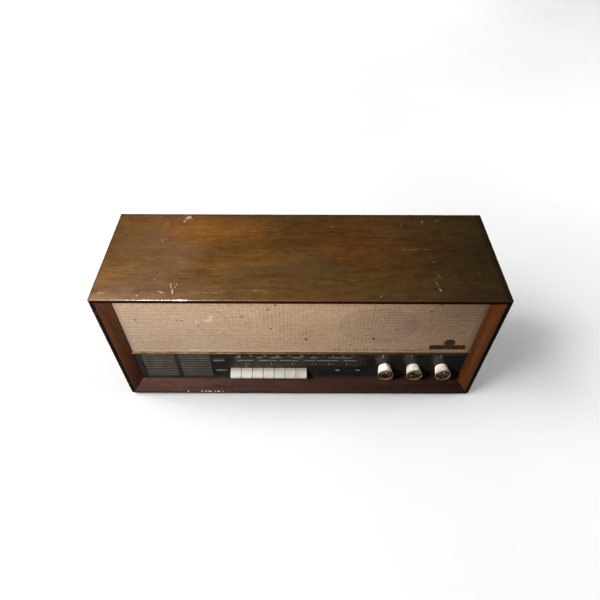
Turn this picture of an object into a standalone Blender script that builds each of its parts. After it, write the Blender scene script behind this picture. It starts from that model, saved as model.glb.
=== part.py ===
"""Tabletop valve radio in a walnut cabinet.

Frame: metres, +Z up, -Y is the front, +X is the listener's right. The origin is the centre of the
cabinet's footprint on the surface that the four feet stand on.

All driving dimensions are millimetres, and MM turns them into metres where the meshes are made.
"""

import math

import bmesh
import bpy
from mathutils import Matrix, Vector

MM = 0.001
GAP = 0.3  # clearance between pieces that touch on the real set

# ---------------------------------------------------------------- driving dimensions
WIDTH = 582.6
DEPTH = 188.0
HEIGHT = 246.0
FOOT_H = 4.0
BOARD = 12.0  # veneered plywood

HALF_W = WIDTH / 2
Y_FRONT = -DEPTH / 2
Y_BACK = DEPTH / 2

EDGE = 6.5  # square front edge of every board
SPLAY_IN = 20.0  # how far the splayed inner face has come in at the lip
Y_LIP = -76.0  # where the splay ends
Y_LIP_BACK = -74.8  # back of the lip, which the front panel sits behind
Y_REBATE = 87.0  # rebate for the rear cover
REBATE_EDGE = 4.0
MITRE_GAP = 0.2
CORNER_R = 5.0  # rounding of the two lower long corners
CORNER_R_TOP = 1.5  # and of the two upper ones

Y_PANEL = -74.5  # front face of cloth, glass and louvre
Z_SEAM_LOW = 94.4  # top edge of the glass and the louvre
Z_SEAM_HIGH = 99.3  # bottom edge of the cloth
Z_PANEL_LOW = 16.3
X_PANEL = 279.0

KNOB_X = (141.0, 188.5, 236.0)
KNOB_Z = 59.5
KNOB_R_BASE = 9.7
KNOB_R_FRONT = 13.3
Y_KNOB_FRONT = -93.0

KEY_COUNT = 7
KEY_PITCH = 18.4
KEY_WIDTH = 17.7
KEY_MID_X = -53.0
KEY_PIVOT_Y = -30.0
KEY_PIVOT_Z = 44.0
KEY_HOLE = (-118.4, 12.4, 31.6, 53.6)

CAP_X = 70.0  # tuning capacitor
CAP_Z = 56.0

SPEAKER_X = 90.0
SPEAKER_Z = 166.0
SMALL_SPEAKER_X = -204.0
SMALL_SPEAKER_Z = 57.5

GLAND_X = -215.0
GLAND_Z = 30.0
SCREW_SPOTS = ((-281.8, 42.0), (281.8, 42.0), (-281.8, 208.0), (281.8, 208.0))

# ---------------------------------------------------------------- clean scene
for old in list(bpy.data.objects):
    bpy.data.objects.remove(old, do_unlink=True)

scene_collection = bpy.context.scene.collection


def material(name, colour, roughness, metallic=0.0, alpha=1.0):
    """A Principled material of one colour, in linear values."""
    made = bpy.data.materials.new(name)
    made.use_nodes = True
    shader = made.node_tree.nodes["Principled BSDF"]
    shader.inputs["Base Color"].default_value = (*colour, 1.0)
    shader.inputs["Roughness"].default_value = roughness
    shader.inputs["Metallic"].default_value = metallic
    shader.inputs["Alpha"].default_value = alpha
    made.diffuse_color = (*colour, 1.0)
    return made


WALNUT = material("walnut", (0.13, 0.058, 0.024), 0.35)
PLY = material("plywood", (0.34, 0.22, 0.12), 0.8)
HARDBOARD = material("hardboard", (0.11, 0.07, 0.045), 0.85)
CLOTH = material("grille_cloth", (0.43, 0.30, 0.19), 0.9)
BLACK_GLASS = material("dial_glass", (0.02, 0.02, 0.022), 0.08)
BRONZE_PLASTIC = material("bronze_plastic", (0.10, 0.085, 0.068), 0.45)
IVORY = material("ivory_plastic", (0.72, 0.66, 0.55), 0.35)
BRASS = material("brass", (0.60, 0.42, 0.18), 0.3, 1.0)
STEEL = material("plated_steel", (0.45, 0.45, 0.43), 0.45, 1.0)
ALUMINIUM = material("aluminium", (0.70, 0.70, 0.71), 0.4, 1.0)
PAINTED = material("painted_metal", (0.05, 0.05, 0.052), 0.5)
RUBBER = material("rubber", (0.02, 0.02, 0.02), 0.8)
PAPER = material("cone_paper", (0.045, 0.04, 0.036), 0.95)
VALVE_GLASS = material("valve_glass", (0.55, 0.56, 0.58), 0.1, 0.0)
FERRITE = material("ferrite", (0.08, 0.075, 0.07), 0.6)
RED = material("pointer_red", (0.55, 0.05, 0.03), 0.4)
DARK_BOARD = material("paxolin", (0.16, 0.08, 0.035), 0.6)

GROUPS = {}


def group(name, at=(0, 0, 0)):
    """An empty that pieces of one moving or fixed group are parented to."""
    empty = bpy.data.objects.new(name, None)
    empty.location = Vector(at) * MM
    scene_collection.objects.link(empty)
    GROUPS[name] = Vector(at)
    return empty


def finish(name, bm, mat, parent=None, smooth=None, helper=False):
    """Turns a bmesh in millimetres, in the radio's frame, into an object whose origin is its parent's."""
    bmesh.ops.remove_doubles(bm, verts=bm.verts, dist=1e-5)
    bmesh.ops.recalc_face_normals(bm, faces=bm.faces)
    at = GROUPS[parent.name] if parent else Vector((0, 0, 0))
    bmesh.ops.translate(bm, verts=bm.verts, vec=-at)
    bmesh.ops.scale(bm, verts=bm.verts, vec=(MM, MM, MM))
    mesh = bpy.data.meshes.new(name)
    bm.to_mesh(mesh)
    bm.free()
    obj = bpy.data.objects.new(name, mesh)
    scene_collection.objects.link(obj)
    if parent:
        obj.parent = parent
    if mat:
        mesh.materials.append(mat)
    if smooth:
        mesh.shade_smooth()
        mesh.set_sharp_from_angle(angle=math.radians(smooth))
    if helper:
        obj.hide_render = True
        obj.display_type = "WIRE"
    return obj


def add_box(bm, x0, x1, y0, y1, z0, z1):
    made = bmesh.ops.create_cube(bm, size=1.0)
    bmesh.ops.scale(bm, verts=made["verts"], vec=(x1 - x0, y1 - y0, z1 - z0))
    bmesh.ops.translate(
        bm, verts=made["verts"], vec=((x0 + x1) / 2, (y0 + y1) / 2, (z0 + z1) / 2)
    )
    return made["verts"]


def box(name, span, mat, parent=None):
    bm = bmesh.new()
    add_box(bm, *span)
    return finish(name, bm, mat, parent)


def add_prism(bm, points, axis, low, high):
    """Extrudes a flat polygon, given as pairs in the two other axes in X, Y, Z order, along an axis."""
    order = {"x": (1, 2, 0), "y": (0, 2, 1), "z": (0, 1, 2)}[axis]

    def place(pair, along):
        out = [0.0, 0.0, 0.0]
        out[order[0]], out[order[1]], out[order[2]] = pair[0], pair[1], along
        return out

    face = bm.faces.new([bm.verts.new(place(p, low)) for p in points])
    shift = [0.0, 0.0, 0.0]
    shift[order[2]] = high - low
    made = bmesh.ops.extrude_face_region(bm, geom=[face])
    moved = [v for v in made["geom"] if isinstance(v, bmesh.types.BMVert)]
    bmesh.ops.translate(bm, verts=moved, vec=shift)
    return moved


def add_turned(bm, profile, centre, axis="y", steps=32, stretch=1.0):
    """Turns an open or closed profile of (radius, height) pairs round an axis through centre.

    Points at radius 0 become poles. A profile that has no pole is closed into a ring.
    """
    rings = []
    for radius, height in profile:
        if radius < 1e-6:
            ring = [(0.0, 0.0, height)]
        else:
            ring = [
                (
                    radius * stretch * math.cos(2 * math.pi * i / steps),
                    radius * math.sin(2 * math.pi * i / steps),
                    height,
                )
                for i in range(steps)
            ]
        placed = []
        for a, b, h in ring:
            if axis == "x":
                spot = (h, centre[0] + a, centre[1] + b)
            elif axis == "y":
                spot = (centre[0] + a, h, centre[1] + b)
            else:
                spot = (centre[0] + a, centre[1] + b, h)
            placed.append(bm.verts.new(spot))
        rings.append(placed)
    pairs = list(zip(rings[:-1], rings[1:]))
    if len(rings[0]) > 1 and len(rings[-1]) > 1:
        pairs.append((rings[-1], rings[0]))
    for one, two in pairs:
        for i in range(steps):
            j = (i + 1) % steps
            corners = [one[i % len(one)], one[j % len(one)], two[j % len(two)], two[i % len(two)]]
            unique = list(dict.fromkeys(corners))
            if len(unique) > 2:
                bm.faces.new(unique)


def turned(name, profile, centre, mat, parent=None, axis="y", steps=32, stretch=1.0):
    bm = bmesh.new()
    add_turned(bm, profile, centre, axis, steps, stretch)
    return finish(name, bm, mat, parent, smooth=40)


def boolean(obj, tool, operation="DIFFERENCE"):
    """Adds an exact Boolean with a hidden tool object."""
    tool.hide_render = True
    tool.display_type = "WIRE"
    mod = obj.modifiers.new(operation.lower() + "_" + tool.name, "BOOLEAN")
    mod.operation = operation
    mod.solver = "EXACT"
    mod.object = tool
    return obj


def cutter(name, build):
    bm = bmesh.new()
    build(bm)
    return finish(name, bm, None, helper=True)


# ---------------------------------------------------------------- fixed groups
cabinet = group("cabinet")
front_panel = group("front_panel", (0, Y_PANEL, 0))
chassis_group = group("chassis_group", (0, 0, BOARD + FOOT_H))

# ---------------------------------------------------------------- cabinet boards
# Section of every board: (inset from the outer face, y). The front inner edge splays in to a lip,
# and the back inner edge is rebated for the rear cover.
BOARD_SECTION = [
    (0.0, Y_FRONT),
    (EDGE, Y_FRONT),
    (SPLAY_IN, Y_LIP),
    (SPLAY_IN, Y_LIP_BACK),
    (BOARD, Y_LIP_BACK),
    (BOARD, Y_REBATE),
    (REBATE_EDGE, Y_REBATE),
    (REBATE_EDGE, Y_BACK),
    (0.0, Y_BACK),
]


def board(name, place):
    """A board mitred at both ends. place(inset, end) gives x and z for end -1 or +1."""
    bm = bmesh.new()
    ends = []
    for end in (-1, 1):
        ring = []
        for inset, y in BOARD_SECTION:
            x, z = place(inset, end)
            ring.append(bm.verts.new((x, y, z)))
        ends.append(ring)
        bm.faces.new(ring)
    count = len(BOARD_SECTION)
    for i in range(count):
        j = (i + 1) % count
        bm.faces.new([ends[0][i], ends[0][j], ends[1][j], ends[1][i]])
    return finish(name, bm, WALNUT, cabinet)


cabinet_top = board(
    "cabinet_top", lambda a, e: (e * (HALF_W - a - MITRE_GAP), HEIGHT - a)
)
cabinet_bottom = board(
    "cabinet_bottom", lambda a, e: (e * (HALF_W - a - MITRE_GAP), FOOT_H + a)
)
side_low = lambda a: FOOT_H + a + MITRE_GAP
side_high = lambda a: HEIGHT - a - MITRE_GAP
cabinet_left = board(
    "cabinet_left_side",
    lambda a, e: (-(HALF_W - a), side_low(a) if e < 0 else side_high(a)),
)
cabinet_right = board(
    "cabinet_right_side",
    lambda a, e: (HALF_W - a, side_low(a) if e < 0 else side_high(a)),
)


def build_rounded_outline(bm):
    """The cabinet's outline from the front, with rounded corners, carried past front and back."""
    points = []
    for quarter, (sx, z) in enumerate(
        ((1, HEIGHT), (-1, HEIGHT), (-1, FOOT_H), (1, FOOT_H))
    ):
        radius = CORNER_R_TOP if z == HEIGHT else CORNER_R
        cx = sx * (HALF_W - radius)
        cz = z - radius if z == HEIGHT else z + radius
        for i in range(7):
            turn = math.radians(90 * quarter + 15 * i)
            points.append((cx + radius * math.cos(turn), cz + radius * math.sin(turn)))
    add_prism(bm, points, "y", Y_FRONT - 5, Y_BACK + 5)


rounded_outline = cutter("rounded_outline", build_rounded_outline)
for piece in (cabinet_top, cabinet_bottom, cabinet_left, cabinet_right):
    boolean(piece, rounded_outline, "INTERSECT")


def build_pilot_holes(bm):
    for x, z in SCREW_SPOTS:
        add_turned(
            bm, [(0, 74), (1.8, 74), (1.8, 99), (0, 99)], (x, z), "y", 12
        )


pilot_holes = cutter("pilot_holes", build_pilot_holes)
boolean(cabinet_left, pilot_holes)
boolean(cabinet_right, pilot_holes)

for name, x, y in (
    ("foot_front_left", -250, -72),
    ("foot_front_right", 250, -72),
    ("foot_rear_left", -250, 68),
    ("foot_rear_right", 250, 68),
):
    turned(
        name,
        [(0, 0), (9.5, 0), (11, 1.2), (11, FOOT_H - GAP), (0, FOOT_H - GAP)],
        (x, y),
        RUBBER,
        cabinet,
        "z",
        24,
    )

# ---------------------------------------------------------------- front: baffle, cloth, trim
speaker_baffle = box(
    "speaker_baffle", (-X_PANEL, X_PANEL, -72.3, -64.3, 99.3, 233.7), PLY, front_panel
)
boolean(
    speaker_baffle,
    cutter(
        "speaker_cutout",
        lambda bm: add_turned(
            bm,
            [(0, -80), (52, -80), (52, -56), (0, -56)],
            (SPEAKER_X, SPEAKER_Z),
            "y",
            32,
            1.7,
        ),
    ),
)
box(
    "grille_cloth",
    (-X_PANEL, X_PANEL, Y_PANEL, -72.6, Z_SEAM_HIGH, 233.7),
    CLOTH,
    front_panel,
)
nameplate = box(
    "nameplate", (205.5, 260.5, -76.3, -74.8, 110.3, 119.9), PAINTED, front_panel
)
boolean(
    nameplate,
    cutter(
        "plate_boss",
        lambda bm: add_turned(
            bm, [(0, -76.5), (7.8, -76.5), (7.8, -74.9), (0, -74.9)], (233.6, 127.0), "y", 24
        ),
    ),
    "UNION",
)

bm = bmesh.new()
trim_front = -77.3
add_prism(
    bm,
    [
        (-73.0, 94.7),
        (trim_front + 0.8, 94.7),
        (trim_front, 95.5),
        (trim_front, 98.0),
        (trim_front + 0.9, 99.0),
        (-73.0, 99.0),
    ],
    "x",
    -271.0,
    271.0,
)
finish("trim_strip", bm, BRASS, front_panel)

# ---------------------------------------------------------------- front: louvre and glass
louvre = box(
    "louvre_grille",
    (-X_PANEL, -146.8, Y_PANEL, -66.5, Z_PANEL_LOW, Z_SEAM_LOW),
    BRONZE_PLASTIC,
    front_panel,
)
LOUVRE_BAYS = ((-261.0, -207.5), (-201.0, -149.5))
LOUVRE_ROWS = 9
LOUVRE_PITCH = 7.0
LOUVRE_SLOT = 3.8
LOUVRE_LOW = 28.5


def build_slots(bm):
    for row in range(LOUVRE_ROWS):
        low = LOUVRE_LOW + row * LOUVRE_PITCH
        for x0, x1 in LOUVRE_BAYS:
            add_box(bm, x0, x1, -80, -60, low, low + LOUVRE_SLOT)


boolean(louvre, cutter("louvre_slots", build_slots))

dial_glass = box(
    "dial_glass",
    (-146.5, X_PANEL, Y_PANEL, -71.5, Z_PANEL_LOW, Z_SEAM_LOW),
    BLACK_GLASS,
    front_panel,
)


def build_front_holes(bm):
    x0, x1, z0, z1 = KEY_HOLE
    add_box(bm, x0, x1, -80, -68, z0, z1)
    for x in KNOB_X:
        add_turned(
            bm, [(0, -80), (4.5, -80), (4.5, -68), (0, -68)], (x, KNOB_Z), "y", 20
        )


boolean(dial_glass, cutter("glass_holes", build_front_holes))

# ---------------------------------------------------------------- dial: backplate, rail, pointer, lamp
dial_backplate = box(
    "dial_backplate", (-146.2, 272.0, -66.0, -64.8, 18.5, 94.0), PAINTED, front_panel
)


def build_backplate_holes(bm):
    add_box(bm, -119.5, 13.5, -70, -62, 30.5, 56.0)
    for x in KNOB_X:
        add_turned(
            bm, [(0, -70), (4.8, -70), (4.8, -62), (0, -62)], (x, KNOB_Z), "y", 20
        )
    for x in (-90.0, 100.0):
        add_turned(
            bm, [(0, -70), (5.3, -70), (5.3, -62), (0, -62)], (x, 74.0), "y", 16
        )


boolean(dial_backplate, cutter("backplate_holes", build_backplate_holes))

RAIL_Y = -68.75
RAIL_Z = 91.3

rail = box("pointer_rail", (-124, -118, -71.1, -66.3, 88.8, 93.8), STEEL, front_panel)
boolean(
    rail,
    cutter(
        "rail_other_end",
        lambda bm: add_box(bm, 118, 124, -71.1, -66.3, 88.8, 93.8),
    ),
    "UNION",
)


def build_rail_rod(bm):
    add_turned(
        bm, [(0, -119.5), (1.0, -119.5), (1.0, 119.5), (0, 119.5)], (RAIL_Y, RAIL_Z), "x", 12
    )


boolean(rail, cutter("rail_rod", build_rail_rod), "UNION")

pointer_group = group("pointer_slide", (0, RAIL_Y, RAIL_Z))
pointer = box(
    "dial_pointer", (-5.5, 5.5, -70.9, -66.6, 88.7, 93.9), RED, pointer_group
)


def build_pointer_bore(bm):
    add_turned(bm, [(0, -8), (1.4, -8), (1.4, 8), (0, 8)], (RAIL_Y, RAIL_Z), "x", 12)


boolean(pointer, cutter("pointer_bore", build_pointer_bore))
boolean(
    pointer,
    cutter(
        "pointer_needle", lambda bm: add_box(bm, -0.6, 0.6, -70.7, -69.9, 58.0, 89.4)
    ),
    "UNION",
)

for name, x in (("dial_lamp_left", -90.0), ("dial_lamp_right", 100.0)):
    turned(
        name,
        [
            (0, -68.0),
            (2.6, -67.6),
            (4.6, -65.6),
            (4.6, -63.0),
            (3.6, -62.0),
            (3.6, -59.2),
            (0, -59.2),
        ],
        (x, 74.0),
        VALVE_GLASS,
        front_panel,
        "y",
        16,
    )

# ---------------------------------------------------------------- loudspeakers
turned(
    "main_speaker_basket",
    [
        (60.0, -64.0),
        (60.0, -62.0),
        (53.0, -60.5),
        (33.0, -24.0),
        (14.0, -20.5),
        (14.0, -22.5),
        (31.5, -26.0),
        (51.0, -62.0),
        (54.0, -64.0),
    ],
    (SPEAKER_X, SPEAKER_Z),
    STEEL,
    cabinet,
    "y",
    24,
    1.6,
)
turned(
    "main_speaker_cone",
    [
        (49.5, -63.6),
        (46.5, -62.6),
        (14.0, -33.0),
        (11.5, -33.5),
        (0, -38.0),
        (0, -39.0),
        (12.0, -34.8),
        (13.6, -34.6),
        (45.8, -64.0),
        (49.5, -64.6),
    ],
    (SPEAKER_X, SPEAKER_Z),
    PAPER,
    cabinet,
    "y",
    24,
    1.6,
)
turned(
    "main_speaker_magnet",
    [
        (0, -32.5),
        (9.0, -32.5),
        (9.0, -20.2),
        (30.0, -20.2),
        (32.0, -18.5),
        (32.0, 0.0),
        (29.0, 3.0),
        (0, 3.0),
    ],
    (SPEAKER_X, SPEAKER_Z),
    PAINTED,
    cabinet,
    "y",
    24,
)
turned(
    "small_speaker",
    [
        (33.0, -66.2),
        (33.0, -64.4),
        (28.0, -63.4),
        (20.0, -48.0),
        (18.0, -46.0),
        (18.0, -32.0),
        (0, -32.0),
        (0, -54.0),
        (7.0, -51.5),
        (9.0, -51.8),
        (26.0, -64.0),
        (29.0, -66.2),
    ],
    (SMALL_SPEAKER_X, SMALL_SPEAKER_Z),
    PAINTED,
    cabinet,
    "y",
    20,
)

# ---------------------------------------------------------------- chassis
bm = bmesh.new()
add_prism(
    bm,
    [
        (-58.5, 16.4),
        (75.5, 16.4),
        (75.5, 17.9),
        (-57.0, 17.9),
        (-57.0, 92.0),
        (-58.5, 92.0),
    ],
    "x",
    -140.0,
    270.0,
)
chassis = finish("chassis", bm, STEEL, chassis_group)


def build_chassis_holes(bm):
    add_box(bm, -123.5, 17.5, -64, -50, 19.5, 60.0)
    for x in KNOB_X:
        add_turned(
            bm, [(0, -64), (4.6, -64), (4.6, -50), (0, -50)], (x, KNOB_Z), "y", 20
        )
    for x in (-90.0, 100.0):
        add_turned(
            bm, [(0, -64), (3.0, -64), (3.0, -50), (0, -50)], (x, 74.0), "y", 16
        )


boolean(chassis, cutter("chassis_holes", build_chassis_holes))

boolean(
    chassis,
    cutter(
        "tuning_bush",
        lambda bm: add_turned(
            bm,
            [(3.35, -62.5), (5.2, -62.5), (5.2, -56.0), (3.35, -56.0)],
            (KNOB_X[2], KNOB_Z),
            "y",
            20,
        ),
    ),
    "UNION",
)

# ---------------------------------------------------------------- keys
bm = bmesh.new()
add_prism(
    bm,
    [(-56.5, 18.2), (-12.0, 18.2), (-12.0, 19.7), (-56.5, 19.7)],
    "x",
    -121.7,
    15.7,
)
key_frame = finish("key_bank_frame", bm, STEEL, chassis_group)


def cheek(bm, x0, x1):
    add_prism(
        bm,
        [(-44.0, 19.0), (-18.0, 19.0), (-18.0, 46.0), (-24.0, 52.0), (-36.0, 52.0), (-44.0, 44.0)],
        "x",
        x0,
        x1,
    )


boolean(key_frame, cutter("cheek_left", lambda bm: cheek(bm, -121.7, -120.2)), "UNION")
boolean(key_frame, cutter("cheek_right", lambda bm: cheek(bm, 14.2, 15.7)), "UNION")


def build_rod(bm, radius, x0, x1):
    add_turned(
        bm,
        [(0, x0), (radius, x0), (radius, x1), (0, x1)],
        (KEY_PIVOT_Y, KEY_PIVOT_Z),
        "x",
        16,
    )


boolean(key_frame, cutter("key_rod", lambda bm: build_rod(bm, 2.0, -122.6, 16.6)), "UNION")

lever_bore = cutter("lever_bore", lambda bm: build_rod(bm, 2.35, -130, 24))

# Side view of a key: the cap stands out of the glass, and its lever runs back to the pivot rod.
KEY_SECTION = [
    (-73.4, 52.6),
    (-84.6, 48.6),
    (-86.6, 47.3),
    (-87.8, 45.4),
    (-88.2, 43.0),
    (-88.2, 39.4),
    (-87.6, 38.4),
    (-86.4, 38.0),
    (-62.0, 38.0),
    (-62.0, 49.4),
    (-68.0, 52.6),
]
for number in range(KEY_COUNT):
    x = KEY_MID_X + (number - (KEY_COUNT - 1) / 2) * KEY_PITCH
    pivot = group(f"key_{number + 1}_pivot", (x, KEY_PIVOT_Y, KEY_PIVOT_Z))
    bm = bmesh.new()
    add_prism(bm, KEY_SECTION, "x", x - KEY_WIDTH / 2, x + KEY_WIDTH / 2)
    key = finish(f"key_{number + 1}", bm, IVORY, pivot)
    bm = bmesh.new()
    add_prism(
        bm,
        [
            (-64.0, 40.0),
            (-34.0, 39.0),
            (-18.5, 39.6),
            (-18.5, 48.4),
            (-34.0, 49.0),
            (-64.0, 48.0),
        ],
        "x",
        x - 3.0,
        x + 3.0,
    )
    lever = finish(f"lever_{number + 1}", bm, None, helper=True)
    boolean(key, lever, "UNION")
    boolean(key, lever_bore)

# ---------------------------------------------------------------- knobs
# Outline of a knob: from the shaft at the back, out over the flared side, to the floor of the
# recess that holds the brass cap.
KNOB_PROFILE = [
    (0, -75.3),
    (KNOB_R_BASE, -75.3),
    (KNOB_R_BASE + 0.5, -76.3),
    (KNOB_R_BASE + 1.2, -81.0),
    (12.1, -88.0),
    (12.9, -91.2),
    (KNOB_R_FRONT, -92.2),
    (KNOB_R_FRONT - 0.3, Y_KNOB_FRONT),
    (11.9, Y_KNOB_FRONT),
    (11.6, -92.4),
    (11.6, -90.3),
    (0, -90.3),
]
CAP_PROFILE = [
    (0, -90.6),
    (11.25, -90.6),
    (11.25, -91.9),
    (10.6, -92.3),
    (8.6, -91.5),
    (0, -91.1),
]

volume = group("volume_axis", (KNOB_X[0], Y_PANEL, KNOB_Z))
tone = group("tone_axis", (KNOB_X[1], Y_PANEL, KNOB_Z))
tuning = group("tuning_axis", (KNOB_X[2], Y_PANEL, KNOB_Z))


def knob(name, x, parent):
    """A flared knob with a blind bore for its shaft and a brass cap in its front."""
    made = turned(name, KNOB_PROFILE, (x, KNOB_Z), IVORY, parent, "y", 24)
    boolean(
        made,
        cutter(
            name + "_bore",
            lambda b: add_turned(
                b, [(0, -87.3), (3.3, -87.3), (3.3, -70), (0, -70)], (x, KNOB_Z), "y", 16
            ),
        ),
    )
    turned(name + "_cap", CAP_PROFILE, (x, KNOB_Z), BRASS, parent, "y", 24)


knob("volume_knob", KNOB_X[0], volume)
knob("tone_knob", KNOB_X[1], tone)
knob("tuning_knob", KNOB_X[2], tuning)

for kind, x, parent in (("volume", KNOB_X[0], volume), ("tone", KNOB_X[1], tone)):
    turned(
        f"{kind}_shaft",
        [(0, -87.0), (3.0, -87.0), (3.0, -47.3), (0, -47.3)],
        (x, KNOB_Z),
        STEEL,
        parent,
        "y",
        20,
    )
    turned(
        f"{kind}_potentiometer",
        [
            (0, -44.0),
            (12.0, -44.0),
            (12.0, -56.7),
            (4.3, -56.7),
            (4.3, -62.5),
            (3.35, -62.5),
            (3.35, -47.0),
            (0, -47.0),
        ],
        (x, KNOB_Z),
        STEEL,
        chassis_group,
        "y",
        20,
    )

turned(
    "tuning_shaft",
    [
        (0, -87.0),
        (3.0, -87.0),
        (3.0, -50.5),
        (21.0, -50.5),
        (22.0, -49.5),
        (22.0, -41.0),
        (21.0, -40.0),
        (0, -40.0),
    ],
    (KNOB_X[2], KNOB_Z),
    BRASS,
    tuning,
    "y",
    20,
)
# ---------------------------------------------------------------- tuning capacitor
rotor_axis = group("rotor_axis", (CAP_X, -25.0, CAP_Z))
PLATE_R = 22.0
ROTOR_Y = (-36.5, -29.5, -22.5, -15.5)
STATOR_Y = (-33.0, -26.0, -19.0, -12.0)
PLATE_T = 1.2


def half_disc(radius_in, radius_out, start, stop, steps=8):
    """Points of half an annulus about the rotor axis, angles in degrees from +X towards +Z."""
    outer = [
        (
            CAP_X + radius_out * math.cos(math.radians(start + (stop - start) * i / steps)),
            CAP_Z + radius_out * math.sin(math.radians(start + (stop - start) * i / steps)),
        )
        for i in range(steps + 1)
    ]
    inner = [
        (
            CAP_X + radius_in * math.cos(math.radians(stop + (start - stop) * i / steps)),
            CAP_Z + radius_in * math.sin(math.radians(stop + (start - stop) * i / steps)),
        )
        for i in range(steps + 1)
    ]
    return outer + inner


rotor = turned(
    "tuning_capacitor_rotor",
    [
        (0, -55.5),
        (27.0, -55.5),
        (27.0, -54.0),
        (25.8, -53.0),
        (25.8, -51.0),
        (27.0, -50.0),
        (27.0, -48.5),
        (9.0, -48.5),
        (9.0, -44.0),
        (3.0, -44.0),
        (3.0, -38.5),
        (4.6, -38.5),
        (4.6, -10.0),
        (3.0, -10.0),
        (3.0, -2.5),
        (0, -2.5),
    ],
    (CAP_X, CAP_Z),
    ALUMINIUM,
    rotor_axis,
    "y",
    20,
)


def build_rotor_plates(bm):
    for y in ROTOR_Y:
        add_prism(
            bm, half_disc(3.6, PLATE_R, -90, 90), "y", y - PLATE_T / 2, y + PLATE_T / 2
        )


boolean(rotor, cutter("rotor_plates", build_rotor_plates), "UNION")

capacitor = box(
    "tuning_capacitor_frame", (44, 96, -42.0, -4.5, 18.2, 19.8), ALUMINIUM, chassis_group
)


def build_end_plates(bm):
    for y in (-42.0, -6.0):
        add_prism(
            bm,
            [(44, 19.0), (96, 19.0), (96, 74.0), (84, 84.0), (56, 84.0), (44, 74.0)],
            "y",
            y,
            y + 1.5,
        )


def build_stator(bm):
    for y in STATOR_Y:
        add_prism(
            bm, half_disc(6.6, 25.0, 182, 358), "y", y - PLATE_T / 2, y + PLATE_T / 2
        )


boolean(capacitor, cutter("capacitor_end_plates", build_end_plates), "UNION")
boolean(
    capacitor,
    cutter("stator_bar", lambda bm: add_box(bm, 64, 76, -41.3, -5.2, 19.4, 33.0)),
    "UNION",
)
boolean(capacitor, cutter("stator_plates", build_stator), "UNION")
boolean(
    capacitor,
    cutter(
        "capacitor_bores",
        lambda bm: add_turned(
            bm, [(0, -45), (3.4, -45), (3.4, 0), (0, 0)], (CAP_X, CAP_Z), "y", 20
        ),
    ),
)
# ---------------------------------------------------------------- on the chassis
mains = box(
    "mains_transformer", (198, 262, 22.0, 50.0, 18.2, 74.0), PAINTED, chassis_group
)
boolean(
    mains,
    cutter("mains_winding", lambda bm: add_box(bm, 211, 249, 10, 62, 28.0, 64.2)),
    "UNION",
)
output = box(
    "output_transformer", (140, 182, 30.0, 48.0, 18.2, 54.0), PAINTED, chassis_group
)
boolean(
    output,
    cutter("output_winding", lambda bm: add_box(bm, 149, 173, 22, 56, 25.0, 47.2)),
    "UNION",
)

for number, (x, radius, height) in enumerate(
    ((-112.0, 9.5, 56.0), (-68.0, 9.5, 50.0), (-24.0, 9.5, 50.0), (18.0, 11.0, 68.0))
):
    top = 18.2 + height
    turned(
        f"valve_{number + 1}",
        [
            (0, 18.2),
            (radius + 1.5, 18.2),
            (radius + 1.5, 25.0),
            (radius, 25.6),
            (radius, top - 8),
            (radius * 0.8, top - 4),
            (radius * 0.35, top - 2),
            (1.6, top),
            (0, top + 1),
        ],
        (x, 46.0),
        VALVE_GLASS,
        chassis_group,
        "z",
        16,
    )
turned(
    "smoothing_capacitor",
    [(0, 18.2), (15, 18.2), (15, 76.0), (13.5, 77.5), (12.8, 76.6), (0, 76.6)],
    (112.0, 36.0),
    ALUMINIUM,
    chassis_group,
    "z",
    24,
)
aerial = box("ferrite_aerial", (-104, -100, 66.0, 72.0, 18.2, 104.0), FERRITE, chassis_group)
boolean(
    aerial,
    cutter(
        "aerial_post", lambda bm: add_box(bm, 36, 40, 66.0, 72.0, 18.2, 104.0)
    ),
    "UNION",
)


# A rod with a waxed coil near each end.
FERRITE_PROFILE = [
    (0, -122),
    (5, -122),
    (5, -88),
    (7, -88),
    (7, -52),
    (5, -52),
    (5, -8),
    (7, -8),
    (7, 28),
    (5, 28),
    (5, 58),
    (0, 58),
]
boolean(
    aerial,
    cutter(
        "ferrite_rod",
        lambda bm: add_turned(bm, FERRITE_PROFILE, (69.0, 106.0), "x", 16),
    ),
    "UNION",
)

# ---------------------------------------------------------------- back: sockets, cover, gland, screws
SOCKET_X = (70.0, 82.0, 94.0, 106.0)
DIN_X = (144.0, 168.0)
socket_panel = box(
    "socket_panel", (48, 194, 76.0, 82.0, 16.4, 56.0), DARK_BOARD, chassis_group
)


def build_socket_holes(bm):
    for x in SOCKET_X:
        add_turned(
            bm, [(0, 77.5), (2.05, 77.5), (2.05, 90), (0, 90)], (x, 36.0), "y", 14
        )
    for x in DIN_X:
        add_turned(
            bm, [(0, 78.6), (7.4, 78.6), (7.4, 90), (0, 90)], (x, 36.0), "y", 24
        )


boolean(socket_panel, cutter("socket_holes", build_socket_holes))

COVER_LOW = FOOT_H + REBATE_EDGE + GAP
COVER_HIGH = HEIGHT - REBATE_EDGE - GAP
COVER_X = HALF_W - REBATE_EDGE - GAP
rear_cover = box(
    "rear_cover",
    (-COVER_X, COVER_X, Y_REBATE + GAP, Y_REBATE + GAP + 3.0, COVER_LOW, COVER_HIGH),
    HARDBOARD,
    cabinet,
)
VENT_COUNT = 20
VENT_PITCH = 21.0
VENT_ROWS = ((164.0, 204.0), (104.0, 144.0))
BAYS = ((61.0, 115.0, 25.0, 47.0), (129.0, 183.0, 25.0, 47.0))


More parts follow.
